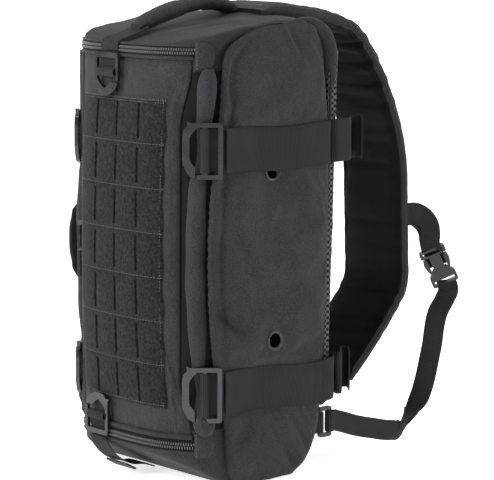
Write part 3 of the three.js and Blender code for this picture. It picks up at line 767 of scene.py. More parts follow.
def build_lobes():
    """Both side lobes and their eyelets; the stitching beside their seams is not built."""
    shape, gap = lobe_shape()
    held = np.concatenate([(gap < 2.5).ravel(), np.ones(gap.size, bool)])
    face = shape[0][: gap.size]
    under = np.zeros(len(held), bool)
    for y, z in EYELETS:
        under |= np.hypot(shape[0][:, 1] - y, shape[0][:, 2] - z) < 13
    for middle in SIDE_STRAP_Z.values():
        under |= np.abs(shape[0][:, 2] - middle) < SIDE_WEB / 2 + 2
    for side, solid in (("right", shape), ("left", mirrored(shape))):
        obj = piece(f"side_lobe_{side}", solid, finish("pack_fabric"), None)
        settle(obj, held | under, 2.2, 0.012, 4.0)
        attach(obj, "pack")
        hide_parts(f"side_panel_{side}")
    ring = np.linspace(0, math.tau, 33)[:-1]
    for number, (y, z) in enumerate(EYELETS):
        x = face[np.hypot(face[:, 1] - y, face[:, 2] - z).argmin(), 0] + 0.5
        x = min(x, strap_rise(y) - 3.2) if number else x
        loop = np.stack([np.full(32, x), y + 10.4 * np.cos(ring), z + 10.4 * np.sin(ring)], -1)
        across = np.stack([np.zeros(32), np.cos(ring), np.sin(ring)], -1)
        a = (np.arange(10) + 0.5) / 10 * math.tau
        rim = loop[:, None] + across[:, None] * (1.9 * np.cos(a))[None, :,
            None] + X_AXIS * (1.2 * np.sin(a))[None, :, None]
        vertices = rim.reshape(-1, 3)
        faces = wound(vertices, grid_faces(32, 10, True, True))
        torus = (vertices, faces, np.zeros((len(vertices), 2)))
        dish_r = np.linspace(0.3, 9.4, 8)[:, None]
        dish = np.stack([x + 0.3 - 0.2 * (1 - (dish_r / 9.4) ** 4) + 0 * ring, y + dish_r * np.cos(ring),
            z + dish_r * np.sin(ring)], -1)
        base = dish.copy()
        base[..., 0] = x - 2.0
        hole = (np.concatenate([dish.reshape(-1, 3), base.reshape(-1, 3)]), None,
            np.zeros((dish.shape[0] * 64, 2)))
        count = dish.shape[0] * 32
        cap = grid_faces(8, 32, False, True)
        k = np.arange(32)
        lip = np.stack([k + 7 * 32, (k + 1) % 32 + 7 * 32, (k + 1) % 32 + 7 * 32 + count, k + 7 * 32 + count],
            -1)
        core = np.stack([(k + 1) % 32, k, k + count, (k + 1) % 32 + count], -1)
        faces = wound(hole[0], np.concatenate([cap, cap[:, ::-1] + count, lip[:, ::-1], core[:, ::-1]]))
        hole = (hole[0], faces, hole[2])
        for side, turned in (("right", lambda s: s), ("left", mirrored)):
            piece(f"eyelet_{number}_{side}", turned(torus), finish("moulded_plastic"), "pack")
            piece(f"eyelet_hole_{number}_{side}", turned(hole), finish("dark_hole"), "pack")


# ---- welts and the door's bellows ----
WELT = [
    (61, 107, -74, 6), (67, 107.5, -75, 10.5), (76, 108, -76, 12.6), (84, 107.5, -77, 12.2),
    (97, 105.5, -78, 8), (111, 104, -78.5, 5.4),
    (128, 103.5, -79, 6), (150, 103.5, -80.5, 8.8), (188, 103, -82.5, 10.6), (262, 102, -84, 11.2),
    (330, 103, -83, 10.8),
    (362, 103.5, -80.8, 8.6), (380, 104, -79, 5.6), (403, 104.5, -78.2, 5.6), (424, 107, -76, 9),
    (450, 109, -74, 11),
    (470, 109.5, -73, 10.6), (484, 109.5, -72.5, 6.5),
]


def build_welts():
    """The soft roll beside the door: a round section whose centre and radius change with height."""
    path = smooth_path(WELT, 150)
    z, radius = path[:, 0], path[:, 3:]
    radius = radius + 0.35 * np.sin(z / 9.0)[:, None] * step(np.abs(z - 391), 20, 45)[:, None]
    a = (np.arange(28) + 0.5) / 28 * math.tau
    lumps = 1 + 0.03 * np.sin(3 * a[None, :] + z[:, None] / 17)
    rings = np.stack(
        [path[:, 1:2] + radius * np.cos(a) * lumps, path[:, 2:3] + radius * np.sin(a) * lumps,
        np.repeat(z[:, None], 28, 1)], -1
    )
    shape = tube(rings)
    for side, solid in (("right", shape), ("left", mirrored(shape))):
        obj = piece(f"welt_{side}", solid, finish("pack_fabric"), "pack",
            [f"front_gusset_{side}"])


def build_crevices():
    """Near-black strips in the recess beside the door and between each welt and lobe: painted shade, standing
    in for the shadow in these gaps.
    """
    z = np.linspace(68, 480, 110)[:, None]
    shapes = []
    for low, high in ((door_reach(z, 1) + 1.0, 152.0), (-152.0 + 0 * z, -112.0)):
        a, b = np.broadcast_arrays(low + (high - low) * np.linspace(0, 1, 40)[None, :], z)
        shapes.append(slab(wrap_point(a, b, 0.8, LIP_LINE), wrap_point(a, b, 0.2, LIP_LINE)))
    # painted shade: dark strap cloth laid in the gaps where only shadow falls
    piece("gusset_gap_painted_shade", shapes, finish("strap_padding"), "pack")


def build_bellows():
    """Cloth that joins the door to the tub along the hinge, with a gentle wave along its height."""
    plan = smooth_path([(96, -80), (94.5, -85.5), (91, -87.6), (86, -88.2), (80, -89.6)], 24)
    z = np.linspace(DOOR_Z[0] + 8, DOOR_Z[1] - 8, 90)
    out = unit(np.gradient(plan, axis=0))[:, ::-1] * (1, -1)
    wave = 0.5 * np.sin(z / 11.0)[:, None, None] * out[None]

    def layer(push):
        flat = plan[None] + out[None] * push + wave
        return np.concatenate([flat, np.broadcast_to(z[:, None, None], flat.shape[:2] + (1,))], -1)

    obj = piece("door_bellows", slab(layer(0.4), layer(-0.4)), finish("lining"), None)
    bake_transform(obj)


# ---- door ----
def door_reach(z, side):
    """Arc length of the door's edge: the right edge runs out round the corner above and below the hooks."""
    far = 107.0 if side > 0 else 97.0
    low = 1 - step(z, 62, 128)
    high = step(z, 412, 492)
    return 93.0 + (far - 93.0) * np.maximum(low, high)


def build_door():
    """The door's padded cloth: a quarter-round in from its outline, crowned beside the loop panel."""
    rows, columns = 150, 120
    z = np.linspace(DOOR_Z[0] + 0.4, DOOR_Z[1] - 0.6, rows)[:, None]
    u = np.linspace(-1, 1, columns)[None, :]
    u = 0.6 * u + 0.4 * np.sin(u * math.pi / 2)
    reach = np.where(u > 0, door_reach(z, 1), door_reach(z, -1))
    s = u * reach
    z = np.broadcast_to(z, s.shape)
    gap = np.minimum(reach - np.abs(s), np.minimum(z - DOOR_Z[0], DOOR_Z[1] - z))
    rim = np.clip(gap / 6.0, 0, 1)
    out = -4.0 + 4.0 * np.sqrt(1 - (1 - rim) ** 2)
    beyond = step(np.abs(s), 78, 86) + 1 - step(z, 78, 90) + step(z, 450, 462)
    out = out + 0.8 * np.clip(beyond, 0, 1) * step(gap, 4, 10) + 0.35 * ripple(s, z, 70, 11) * step(gap, 3, 9)
    out = out + 1.1 * bump(s, z, (89, 112), (34, 2.6), -74) + 0.9 * bump(s, z, (83, 108), (32, 2.4), -85)
    inner = np.where(gap < 0.5, -4.6, -7.6 + 2.6 * (1 - np.sqrt(1 - (1 - rim) ** 2)))
    shape = slab(wrap_point(s, z, out), wrap_point(s, z, inner))
    obj = piece("door_fabric", shape, finish("pack_fabric"), None)
    held = np.concatenate([((gap < 3) | ((np.abs(s) < 78) & (z > 88) & (z < 452))).ravel(),
        np.ones(s.size, bool)])
    settle(obj, held, 1.2, 0.01, 1.5)
    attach(obj, "door")
    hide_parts("front_panel")


def loop_lines(low, high, cuts, near, coarse):
    """Grid lines over a range: evenly spaced, with extra lines beside every cut."""
    lines = np.linspace(low, high, coarse)
    extra = np.add.outer(np.asarray(cuts, float), np.asarray(near, float)).ravel()
    far = np.abs(np.subtract.outer(lines, np.asarray(cuts, float))).min(1) > max(near) + 0.4
    return np.unique(np.concatenate([lines[far], extra[(extra >= low) & (extra <= high)]]))


def build_loop_panel():
    """The attachment loops: cells puffed between slits, slits cut down to the door, rows sewn down."""
    top = LOOP_BOTTOM + 7 * LOOP_ROW
    cuts = np.array([-1, 0, 1]) * LOOP_COLUMN
    seams = LOOP_BOTTOM + LOOP_ROW * np.arange(1, 7)
    half = 2 * LOOP_COLUMN
    beside = (-3.2, -2.3, -1.3, 1.3, 2.3, 3.2)
    s = loop_lines(-half, half, cuts, beside, 70)[None, :]
    ends = np.concatenate([seams - 5.8, seams + 5.8, [LOOP_BOTTOM + 5.8, top - 5.8]])
    z = loop_lines(LOOP_BOTTOM, top, np.concatenate([seams, ends]), (-0.9, -0.3, 0.3, 0.9), 160)[:, None]
    row = (z - LOOP_BOTTOM) % LOOP_ROW
    inside = step(row, 4.6, 6.4) * (1 - step(row, LOOP_ROW - 6.4, LOOP_ROW - 4.6))
    slit = np.abs(np.subtract.outer(s[0], cuts)).min(1)[None, :]
    cell_s = np.abs(np.sin(math.pi * (s / LOOP_COLUMN)))
    cell_z = np.sin(math.pi * row / LOOP_ROW)
    out = 2.0 + 1.1 * cell_s**0.6 * cell_z**0.7
    out = out - 2.6 * inside * (1 - step(slit, 1.3, 2.3))
    seam = np.abs(row - LOOP_ROW * (row > LOOP_ROW / 2))
    sewn = (z > LOOP_BOTTOM + 5) & (z < top - 5)
    out = out - 0.9 * np.exp(-((seam / 1.3) ** 2)) * sewn
    edge = np.minimum(half - np.abs(s), np.minimum(z - LOOP_BOTTOM, top - z))
    out = np.where(edge < 0.2, 0.9, out) - 0.5 * np.exp(-(((edge - 3.6) / 1.2) ** 2))
    draw = np.random.default_rng(21)
    out = out + draw.normal(0, 0.12, out.shape) * (edge > 0.5)
    s, z = np.broadcast_arrays(s, z)
    wide = 1 + 0.012 * np.sin((z - LOOP_BOTTOM) / LOOP_ROW * math.tau)
    shape = slab(wrap_point(s * wide, z, out), wrap_point(s * wide, z, np.full(out.shape, 0.15)))
    piece("loop_field", shape, finish("loop_field"), "door", ["loop_panel"], crease=35)
    threads = []
    for seam_z in seams:
        line = np.linspace(-half + 2, half - 2, 80)
        path = wrap_point(line, seam_z, 1.5)
        threads.append(stitches(path, path - wrap_point(line, seam_z, 0.0), 4.2, 2.8, 0.3))
    around = [
        (np.linspace(-half + 3.6, half - 3.6, 80), np.full(80, top - 3.6)),
        (np.full(80, half - 3.6), np.linspace(top - 3.6, LOOP_BOTTOM + 3.6, 80)),
        (np.linspace(half - 3.6, -half + 3.6, 80), np.full(80, LOOP_BOTTOM + 3.6)),
        (np.full(80, -half + 3.6), np.linspace(LOOP_BOTTOM + 3.6, top - 3.6, 80)),
    ]
    for a, b in around:
        path = wrap_point(a, b, 1.9)
        threads.append(stitches(path, path - wrap_point(a, b, 0.0), 3.4, 2.3, 0.36))
    count = 52
    at = np.linspace(-half + 1.5, half - 1.5, count)
    tilt = np.where(np.arange(count) % 2, 1.0, -1.0)
    centre = wrap_point(at, top - 0.9, 1.5)
    along = unit(np.gradient(centre, axis=0)) * 0.8 + Z_AXIS * tilt[:, None]
    threads.append(beads(centre, along, Y_AXIS, (1.9, 0.36, 0.36)))
    piece("loop_field_thread", threads, finish("thread"), "door")


def build_door_pocket():
    """Mesh pocket inside the door, bound along its top."""
    z = np.linspace(110, 380, 60)[:, None]
    s = np.linspace(-62, 62, 40)[None, :]
    s, z = np.broadcast_arrays(s, z)
    edge = np.minimum(62 - np.abs(s), z - 110)
    depth = -9.4 - 3.2 * np.sqrt(1 - (1 - np.clip(edge / 24, 0, 1)) ** 2) - 0.5 * np.sin(s / 6) * step(z, 330,
        380)
    piece(
        "door_mesh_pocket", slab(wrap_point(s, z, depth + 0.8), wrap_point(s, z, depth)),
        finish("spacer_mesh"), "door",
        ["door_pocket"],
    )
    line = np.linspace(-62, 62, 60)
    binding = wrap_point(line, 380, -12.0 - 0.5 * np.sin(line / 6))
    piece("door_pocket_binding", sweep(binding, Z_AXIS, stadium(14, 2.0)), finish("webbing"), "door")


# ---- zips ----
def lip_run(low, high, z, out, count=240):
    s = np.linspace(low, high, count)
    return wrap_point(s, z, out, LIP_LINE), wrap_point(s, z, out + 1.0, LIP_LINE) - wrap_point(s, z, out,
        LIP_LINE)


def coil_rows(path, out, across, pitch, apart, length):
    """Two rows of coil teeth either side of a line, set half a pitch apart."""
    reach = np.linalg.norm(np.diff(path, axis=0), axis=1).sum()
    shapes = []
    for side in (-1, 1):
        fine = resample(np.concatenate([path, out], -1), int(reach / pitch) * 2 + 1)
        at = fine[(1 if side > 0 else 0) :: 2]
        along = np.gradient(at[:, :3], axis=0)
        shapes.append(beads(at[:, :3] + np.asarray(across) * side * apart / 2, np.asarray(across) + 0 * along,
            along, (length / 2, pitch * 0.31, 1.5)))
    return shapes


def build_zips():
    """Both curved lip zips and the straight side run: tape, two rows of coil, piping and end garages."""
    look = bpy.context.scene.sling_pack
    pitch = look.tooth_pitch * 1000
    ends = (-97.0, 113.0)
    for name, z, height in (("top", 503.2, 9.4), ("bottom", 50.4, 10.6)):
        path, out = lip_run(*ends, z, 0.9)
        tape = sweep(path, Z_AXIS, stadium(height + 4, 1.0))
        piece(f"{name}_zip_tape", tape, finish("strap_padding"), "pack")
        path, out = lip_run(*ends, z, 1.9)
        teeth = coil_rows(path, out, Z_AXIS, pitch, 4.1, 3.7)
        piece(f"{name}_zip_coil", teeth, finish("zip_teeth"), "pack",
            [f"{name}_zip_chain"])
    x, y = -96.6, -92.9
    run = np.stack([np.full(200, x), np.full(200, y), np.linspace(60, 495, 200)], -1)
    piece("left_zip_tape", sweep(run + (0, 0.4, 0), X_AXIS, stadium(11, 1.0)), finish("webbing"), "pack")
    teeth = coil_rows(run, np.broadcast_to(-Y_AXIS, run.shape), X_AXIS, pitch, 2.3, 2.1)
    piece("left_zip_coil", teeth, finish("zip_teeth"), "pack", ["left_zip_chain"])

    def piping(name, z, radius, body, low=-97.0, high=112.0, out=0.6):
        path, _ = lip_run(low, high, z, out)
        piece(name, sweep(path, Z_AXIS, stadium(2 * radius, 2 * radius, 12, 1.0, 1.0)), finish("pack_fabric"),
            body)

    piping("top_lip_piping", 509.6, 1.5, "pack", high=122)
    piping("door_top_piping", 495.6, 2.1, "door", high=106.5, low=-96.0)
    piping("door_bottom_piping", 60.6, 2.9, "door", high=106.5, low=-96.0)
    piping("bottom_lip_piping", 42.4, 1.8, "pack", high=122)
    for name, low, high in (("top", 482.0, 513.0), ("bottom", 37.0, 66.0)):
        z = np.linspace(low, high, 34)[:, None]
        s = np.linspace(0, 1, 34)[None, :]
        s, z = np.broadcast_arrays(s, z)
        round_off = 1 - 0.42 * np.abs((z - (low + high) / 2) / ((high - low) / 2)) ** 4
        gap = np.minimum(np.minimum(s, 1 - s) * 22.0, np.minimum(z - low, high - z))
        s = 109.0 + 22.0 * s * round_off
        out = 1.2 + 3.2 * np.sqrt(1 - (1 - np.clip(gap / 4.5, 0, 1)) ** 2) + 1.4 * bump(s, z,
            (119, (low + high) / 2), (8, 10))
        shape = slab(wrap_point(s, z, out, LIP_LINE), wrap_point(s, z, np.full(out.shape, 0.2), LIP_LINE))
        obj = piece(f"{name}_zip_garage", shape, finish("pack_fabric"), "pack")
        line = np.linspace(low + 2, high - 2, 30)
        edge = wrap_point(np.full(30, 111.2), line, 4.2, LIP_LINE)
        thread = stitches(edge, edge - wrap_point(np.full(30, 111.2), line, 0, LIP_LINE), 3.4, 2.2, 0.36)
        piece(f"{name}_garage_thread", thread, finish("thread"), "pack")
    for place, top in (("upper", 287.0), ("lower", 256.0)):
        low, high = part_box(f"{place}_zip_pull")
        x, y = (low.x + high.x) / 2 / MM, (low.y + high.y) / 2 / MM
        bottom = low.z / MM
        path = [(x, y - 0.2, top), (x, y - 0.6, top - 8), (x + 0.4, y - 0.4, (top + bottom) / 2),
            (x, y - 0.2, bottom + 1)]
        tail = strap_shape(path, X_AXIS, 6.4, 24, 2.0)
        cap = beads([[x, y - 0.2, bottom + 4]], Z_AXIS, X_AXIS, (5.5, 3.6, 1.9), 12, 16)
        piece(f"{place}_zip_tail", [tail, cap], finish("webbing"), f"{place}_zip_pull",
            [f"{place}_zip_pull"])


# ---- hooks and straps ----
def bar_wrap(origin, along, out, across, bar, tail, room, width):
    """Webbing folded round a hook's centre bar, both layers leaving under the frame's outer bar."""
    low, high = bar[0] - 0.6 - WEB / 2, bar[1] + 0.6 + WEB / 2
    middle, r = (low + high) / 2, room + WEB / 2
    local = [
        (tail, -r - 0.3), (high + 6, -r - 0.2), (high + 0.4, -r), (middle, -r - 0.2), (low + 0.7, -0.72 * r),
        (low - 0.1, 0),
        (low + 0.7, 0.75 * r), (middle, r + 0.9), (high - 0.4, 0.78 * r), (high + 0.5, 0.1),
        (high + 1.6, -r + 1.6 * WEB),
    ]
    points = [origin + along * u + out * w for u, w in local]
    return strap_shape(points, across, width, 56)


def side_frame(z, mirror=1.0):
    along = np.array([math.cos(HOOK_AZIMUTH) * mirror, math.sin(HOOK_AZIMUTH), 0])
    out = np.array([along[1] * mirror, -along[0] * mirror, 0])
    return np.array([HOOK_START[0] * mirror, HOOK_START[1], z]), along, out


STRAP_FOLDS = {
    "upper": np.array([
        (-0.6, 104, 0), (-6, 108, 0), (-10, 111, 0), (-6.5, 113.6, 0), (-2.2, 118, 0.5), (-0.6, 127, 1),
        (-0.8, 136, 1.5),
        (-5, 142, 1.5), (-14, 150, 1), (-24, 159, 1), (-29, 165.5, 0), (-29, 173, 0), (-24, 176, 0),
        (-14, 169, 0),
        (-6, 162, 0), (-1, 157.4, 0),
    ]),
    "lower": np.array([
        (0.6, 106, -3.4), (-1.2, 113, -2.6), (-7.5, 119.6, -1.6), (-14, 121.6, -0.6), (-10, 124, 0),
        (-4.6, 124.6, 0.4),
        (-2.6, 127, 0.6), (-5, 131, 0.8), (-14, 139, 1), (-24, 148, 1), (-28.6, 154, 1), (-26, 158.4, 1),
        (-18, 154.6, 1),
        (-8, 146.4, 1), (-2, 141.4, 1),
    ]),
}


def build_side_straps():
    """Four compression straps with folded tails, and the webbing wrapped in their hooks."""
    for place, z in SIDE_STRAP_Z.items():
        for side, mirror in (("right", 1.0), ("left", -1.0)):
            origin, along, out = side_frame(z, mirror)
            wrap = bar_wrap(origin, along, out, Z_AXIS, (22.5, 28.0), 47.5, 2.85, SIDE_WEB)
            name = f"{place}_{side}_hook_webbing"
            piece(f"{name}_fold", wrap, finish("webbing"), f"{place}_{side}_hook", [name])
            pivot = origin + along * 48.5 - out * 4.0
            y = np.array([-47.0, -30, -10, 10, 32, 58, 82, 98])
            depth, middle, spread = (3.6, 30, 44) if place == "upper" else (6.0, 74, 50)
            sag = depth * np.exp(-(((y - middle) / spread) ** 2))
            over = np.stack([strap_rise(y), y, z - sag], -1)
            over[0, 0] += 2.4
            over[1, 0] += 0.8
            fold = STRAP_FOLDS[place] + (STRAP_X, 0, z)
            points = np.concatenate([over, fold])
            points[:, 0] *= mirror
            points = np.concatenate([[pivot + (0.2 * mirror, 1.4, 0)], points])
            strap = strap_shape(points, Z_AXIS, SIDE_WEB, 170)
            name = f"{place}_{side}_strap"
            piece(f"{name}_webbing", strap, finish("webbing"), "pack", [name])
            edge_threads = []
            for offset in (-SIDE_WEB / 2 + 2.4, SIDE_WEB / 2 - 2.4):
                line = smooth_path([(strap_rise(a) + WEB / 2, a, z + offset - sag[-2]) for a in (84.0, 90.0,
                    96.0)], 12)
                edge_threads.append(stitches(line * (mirror, 1, 1), X_AXIS * mirror))
            across_line = np.linspace(-SIDE_WEB / 2 + 3, SIDE_WEB / 2 - 3, 20)
            for a in (84.0, 96.0):
                line = np.stack([np.full(20, strap_rise(a) + WEB / 2), np.full(20, a),
                    z + across_line - sag[-2]], -1)
                edge_threads.append(stitches(line * (mirror, 1, 1), X_AXIS * mirror))
            piece(f"{name}_thread", edge_threads, finish("webbing"), "pack")


def build_front_hooks():
    """Webbing in the two front hooks, their tabs, and the straps over the top and under the base."""
    k = 50.0 / 46.0
    bar = (22.5 * k, 28.0 * k)
    for name, direction in (("top_hook", 1.0), ("bottom_hook", -1.0)):
        low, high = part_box(name)
        x = -14.0 if direction > 0 else -36.0
        z = 473.0 if direction > 0 else 72.0
        y = (low.y + high.y) / 2 / MM
        along = Z_AXIS * direction
        origin = np.array([x, y, z]) - along * 25.0
        wrap = bar_wrap(origin, along, -Y_AXIS, X_AXIS, bar, 51.0, 2.4, FRONT_WEB)
        piece(f"{name}_webbing_fold", wrap, finish("webbing"), name, [f"{name}_webbing"])
    for name, x, face, tip in (("top_anchor_tab", -14.0, 450.0, 484.0),
        ("bottom_anchor_tab", -36.0, 91.0, 60.0)):
        toward = math.copysign(1.0, tip - face)
        z = np.array([face, face + toward * 10, tip - toward * 6, tip])
        points = wrap_point(np.full(4, x), z, np.array([2.9, 3.3, 4.0, 4.6]))
        tab = strap_shape(points, X_AXIS, 24.0, 30, 1.5)
        piece(f"{name}_webbing", tab, finish("pack_fabric"), "door", [name])
    top = [
        (-14, -116.6, 501.6), (-13.6, -116.6, 507), (-12.4, -113.6, 512), (-9, -106, 516), (-5, -97, 519.5),
        (-2, -88, 523.5),
        (0, -78, 528),
    ]
    piece("top_strap_webbing", strap_shape(top, X_AXIS, FRONT_WEB, 50), finish("webbing"), "pack",
        ["top_strap"])
    bottom = [
        (-36, -116.2, 43.4), (-36, -116.4, 39), (-33, -114.6, 33), (-24, -107, 21), (-14, -94, 13.4),
        (-9, -80, 11.4),
        (-7, -66, 6.6),
    ]
    piece("bottom_strap_webbing", strap_shape(bottom, X_AXIS, FRONT_WEB, 60), finish("webbing"), "pack",
        ["bottom_strap"])


# ---- handles ----
def build_top_handle():
    """Rolled fabric grip with a folded cuff at its front end; the webbing core inside the grip is not built."""
    path = smooth_path(
        [(0, -90, 526), (0, -70, 533.5), (0, -44, 542), (0, -14, 549), (0, 14, 552), (0, 36, 550),
        (0, 62, 540)], 90
    )
    t = np.linspace(0, 1, 90)
    full = 0.62 + 0.38 * step(t, 0, 0.1) * (1 - step(t, 0.93, 1.0))
    a = (np.arange(30) + 0.5) / 30 * math.tau
    wrinkle = 1 + 0.035 * np.sin(t[:, None] * 60 + 2 * np.sin(a)[None, :] * 2) * step(np.abs(t - 0.5), 0.12,
        0.4)[:, None]
    ring = np.stack([14.0 * np.cos(a), 8.4 * np.sin(a)], -1)
    profile = ring[None] * full[:, None, None] * wrinkle[..., None]
    obj = piece("top_handle_grip", sweep(path, X_AXIS, profile), finish("pack_fabric"), "top_handle",
        ["top_handle"])
    cuffs = []
    for low, high, grow in ((9, 27, 1.10), (19, 40, 1.16)):
        part = path[low:high]
        lip = 1 - 0.08 * np.exp(-np.minimum(np.arange(high - low), np.arange(high - low)[::-1]) / 1.2)
        cuffs.append(sweep(part, X_AXIS, ring[None] * grow * lip[:, None, None]))
    piece("top_handle_cuffs", cuffs, finish("pack_fabric"), "top_handle")
    line = path[44:74] + np.array([0, -0.4, 0])
    threads = []
    for side in (-1, 1):
        threads.append(stitches(line + (side * 9.5, 0, 6.6), Z_AXIS, 4.0, 2.6, 0.4))
    piece("top_handle_thread", threads, finish("thread"), "top_handle")


def build_side_handle():
    """Carry loop on the left: webbing folded into a narrow grip at its middle."""
    y = -62.0
    points = [
        (-126.3, y, 330), (-131, y, 314), (-148, y, 296), (-156, y, 278), (-157, y, 262), (-156, y, 246),
        (-148, y, 228),
        (-131, y, 210), (-126.3, y, 194),
    ]
    path = smooth_path(points, 90)
    t = np.abs(np.linspace(-1, 1, 90))[:, None, None]
    flat, rolled = stadium(19, 2.2, 24), stadium(13, 6.0, 24, 0.6, 0.9)
    profile = rolled[None] + (flat - rolled)[None] * step(t, 0.32, 0.5)
    piece("side_handle_webbing", sweep(path, Y_AXIS, profile), finish("webbing"), "side_handle",
        ["side_handle"])


# ---- back and shoulder strap ----
BACK_HALF = 115.0


def build_yokes():
    """Rounded shoulders of cloth behind each lobe, where the back wall turns into the top."""
    points = [
        (103, 40, 529), (104, 66, 529.5), (106, 90, 527), (107, 104, 519), (108, 112, 505),
        (108.4, 114.6, 485),
        (108.4, 114.4, 460), (108, 111, 436), (106, 104, 420),
    ]
    path = smooth_path(points, 90)
    t = np.linspace(0, 1, 90)
    full = step(t, -0.05, 0.3) * (1 - step(t, 0.55, 1.05)) * 0.75 + 0.25
    a = (np.arange(26) + 0.5) / 26 * math.tau
    ring = np.stack([10.5 * np.cos(a), 9.5 * np.sin(a)], -1)
    shape = sweep(path, X_AXIS, ring[None] * full[:, None, None])
    for side, solid in (("right", shape), ("left", mirrored(shape))):
        piece(f"back_yoke_{side}", solid, finish("pack_fabric"), "pack")


def build_back():
    """Mesh back pad: a quarter-round rim, two hollow channels up its length and a bound edge."""
    z = np.linspace(76, 500, 130)[:, None]
    x = np.linspace(-1, 1, 100)[None, :]
    x = BACK_HALF * (0.6 * x + 0.4 * np.sin(x * math.pi / 2))
    x, z = np.broadcast_arrays(x, z)
    gap = np.minimum(BACK_HALF - np.abs(x), np.minimum(z - 76, 500 - z))
    rim = np.clip(gap / 7.0, 0, 1)
    out = 8.0 + 11.0 * np.sqrt(1 - (1 - rim) ** 2)
    out -= 4.0 * (np.exp(-(((np.abs(x) - 38) / 5) ** 2))) * step(gap, 6, 30)
    out -= 2.0 * np.exp(-(((z - 290) / 5) ** 2)) * step(gap, 6, 30)
    front = np.stack([x, back_y(z) + out, z], -1)
    back = np.stack([x, back_y(z) + 0.6, z], -1)
    obj = piece("back_mesh_pad", slab(front, back), finish("spacer_mesh"), None)
    held = np.concatenate([(gap < 2).ravel(), np.ones(gap.size, bool)])
    settle(obj, held, 1.0, 0.006, 1.6)
    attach(obj, "pack")
    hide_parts("back_panel")
    edge = BACK_HALF - 0.5
    corners = np.array([(-edge, 77), (edge, 77), (edge, 499), (-edge, 499), (-edge, 77)], float)
    line = resample(corners, 400)
    path = np.stack([line[:, 0], back_y(line[:, 1]) + 4.0, line[:, 1]], -1)
    rings = []
    for low, high in ((0, 68), (68, 200), (200, 268), (268, 400)):
        rings.append(sweep(path[low:high], Y_AXIS, stadium(4.4, 3.6, 12, 1.0, 1.0)))
    piece("back_pad_binding", rings, finish("webbing"), "pack")


SHOULDER = [
    (0, 56, 541), (0, 90, 542), (0, 130, 537.5), (0, 175, 530), (0, 212, 516), (0, 235, 491), (0, 261, 449),
    (0, 278, 412),
    (0, 290, 376), (0, 296, 343), (0, 298, 299), (0, 300, 240), (0, 298, 188), (0, 278, 160), (0, 253, 131),
    (0, 207, 84),
]


def build_shoulder_strap():
    """Wide padded strap: a flat oval section with bound edges, creased across where it bends."""
    rows = 220
    path = smooth_path(SHOULDER, rows)
    t = np.linspace(0, 1, rows)
    points = 56
    base = stadium(108.0, 15.6, points, 0.16, 0.55)
    u = base[:, 0] / 54
    bend = 1.3 * np.exp(-(((t - 0.32) / 0.11) ** 2)) + 0.9 * np.exp(-(((t - 0.83) / 0.05) ** 2)) + 0.3
    crease = np.sin(t[:, None] * 150 + 1.6 * np.sin(u * 2.1 + t[:, None] * 20)) + 0.6 * np.sin(t[:,
        None] * 263 + u * 2)
    inner = base[:, 1] > 0
    depth = np.where(inner, 1.2, 0.8) * (1 - 0.6 * np.abs(u) ** 6) * bend[:, None] * 1.15
    profile = np.repeat(base[None], rows, 0)
    profile[..., 1] += crease * depth
    profile[..., 1] *= 1 - 0.14 * np.exp(-(((np.abs(u) - 0.86) / 0.05) ** 2))
    ends = 0.55 + 0.45 * step(t, 0, 0.03) * (1 - step(t, 0.975, 1.0))
    profile[..., 1] *= ends[:, None]
    obj = piece("shoulder_strap_pad", sweep(path, X_AXIS, profile), finish("strap_padding"), None)
    obj.data.materials.append(finish("pack_fabric"))
    outer = np.zeros(len(obj.data.polygons), np.int32)
    outer[: (rows - 1) * points] = np.tile((base[:, 1] < 0) | (np.abs(u) > 0.97), rows - 1)
    obj.data.polygons.foreach_set("material_index", outer)
    turned = np.tile(np.abs(u) > 0.9, rows)
    turned |= np.repeat((t < 0.02) | (t > 0.98), points)
    settle(obj, turned, 1.5, 0.012, 2.5)
    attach(obj, "pack")
    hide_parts("shoulder_strap")
    edges = []
    for side in (-1, 1):
        edges.append(sweep(path + X_AXIS * side * 53.0, X_AXIS, stadium(4.4, 7.0, 14, 0.7, 0.7)))
    piece("shoulder_strap_binding", edges, finish("pack_fabric"), "pack")
    lower = [(0, 210, 82), (0, 199.6, 76), (0, 190, 76), (0, 166, 84), (0, 156, 89.4)]
    piece("shoulder_strap_lower_webbing", strap_shape(lower, X_AXIS, SIDE_WEB, 40), finish("webbing"), "pack",
        ["shoulder_strap_webbing"])


def loop_wrap(centre, room, tail, axis, width):
    """Webbing looped round a bar: a teardrop whose two layers run together to the tail."""
    u = unit(np.asarray(tail, float) - centre)
    v = np.cross(axis, u)
    reach = np.linalg.norm(np.asarray(tail, float) - centre)
    r = room + WEB / 2
    local = [
        (reach, WEB * 0.62), (r * 1.8, WEB * 0.75), (r * 0.9, r * 0.7), (0, r), (-r * 0.75, r * 0.7), (-r, 0),
        (-r * 0.75, -r * 0.7),
        (0, -r), (r * 0.9, -r * 0.7), (r * 1.8, -WEB * 0.75), (reach, -WEB * 0.62),
    ]
    return strap_shape([centre + u * a + v * b for a, b in local], axis, width, 60)


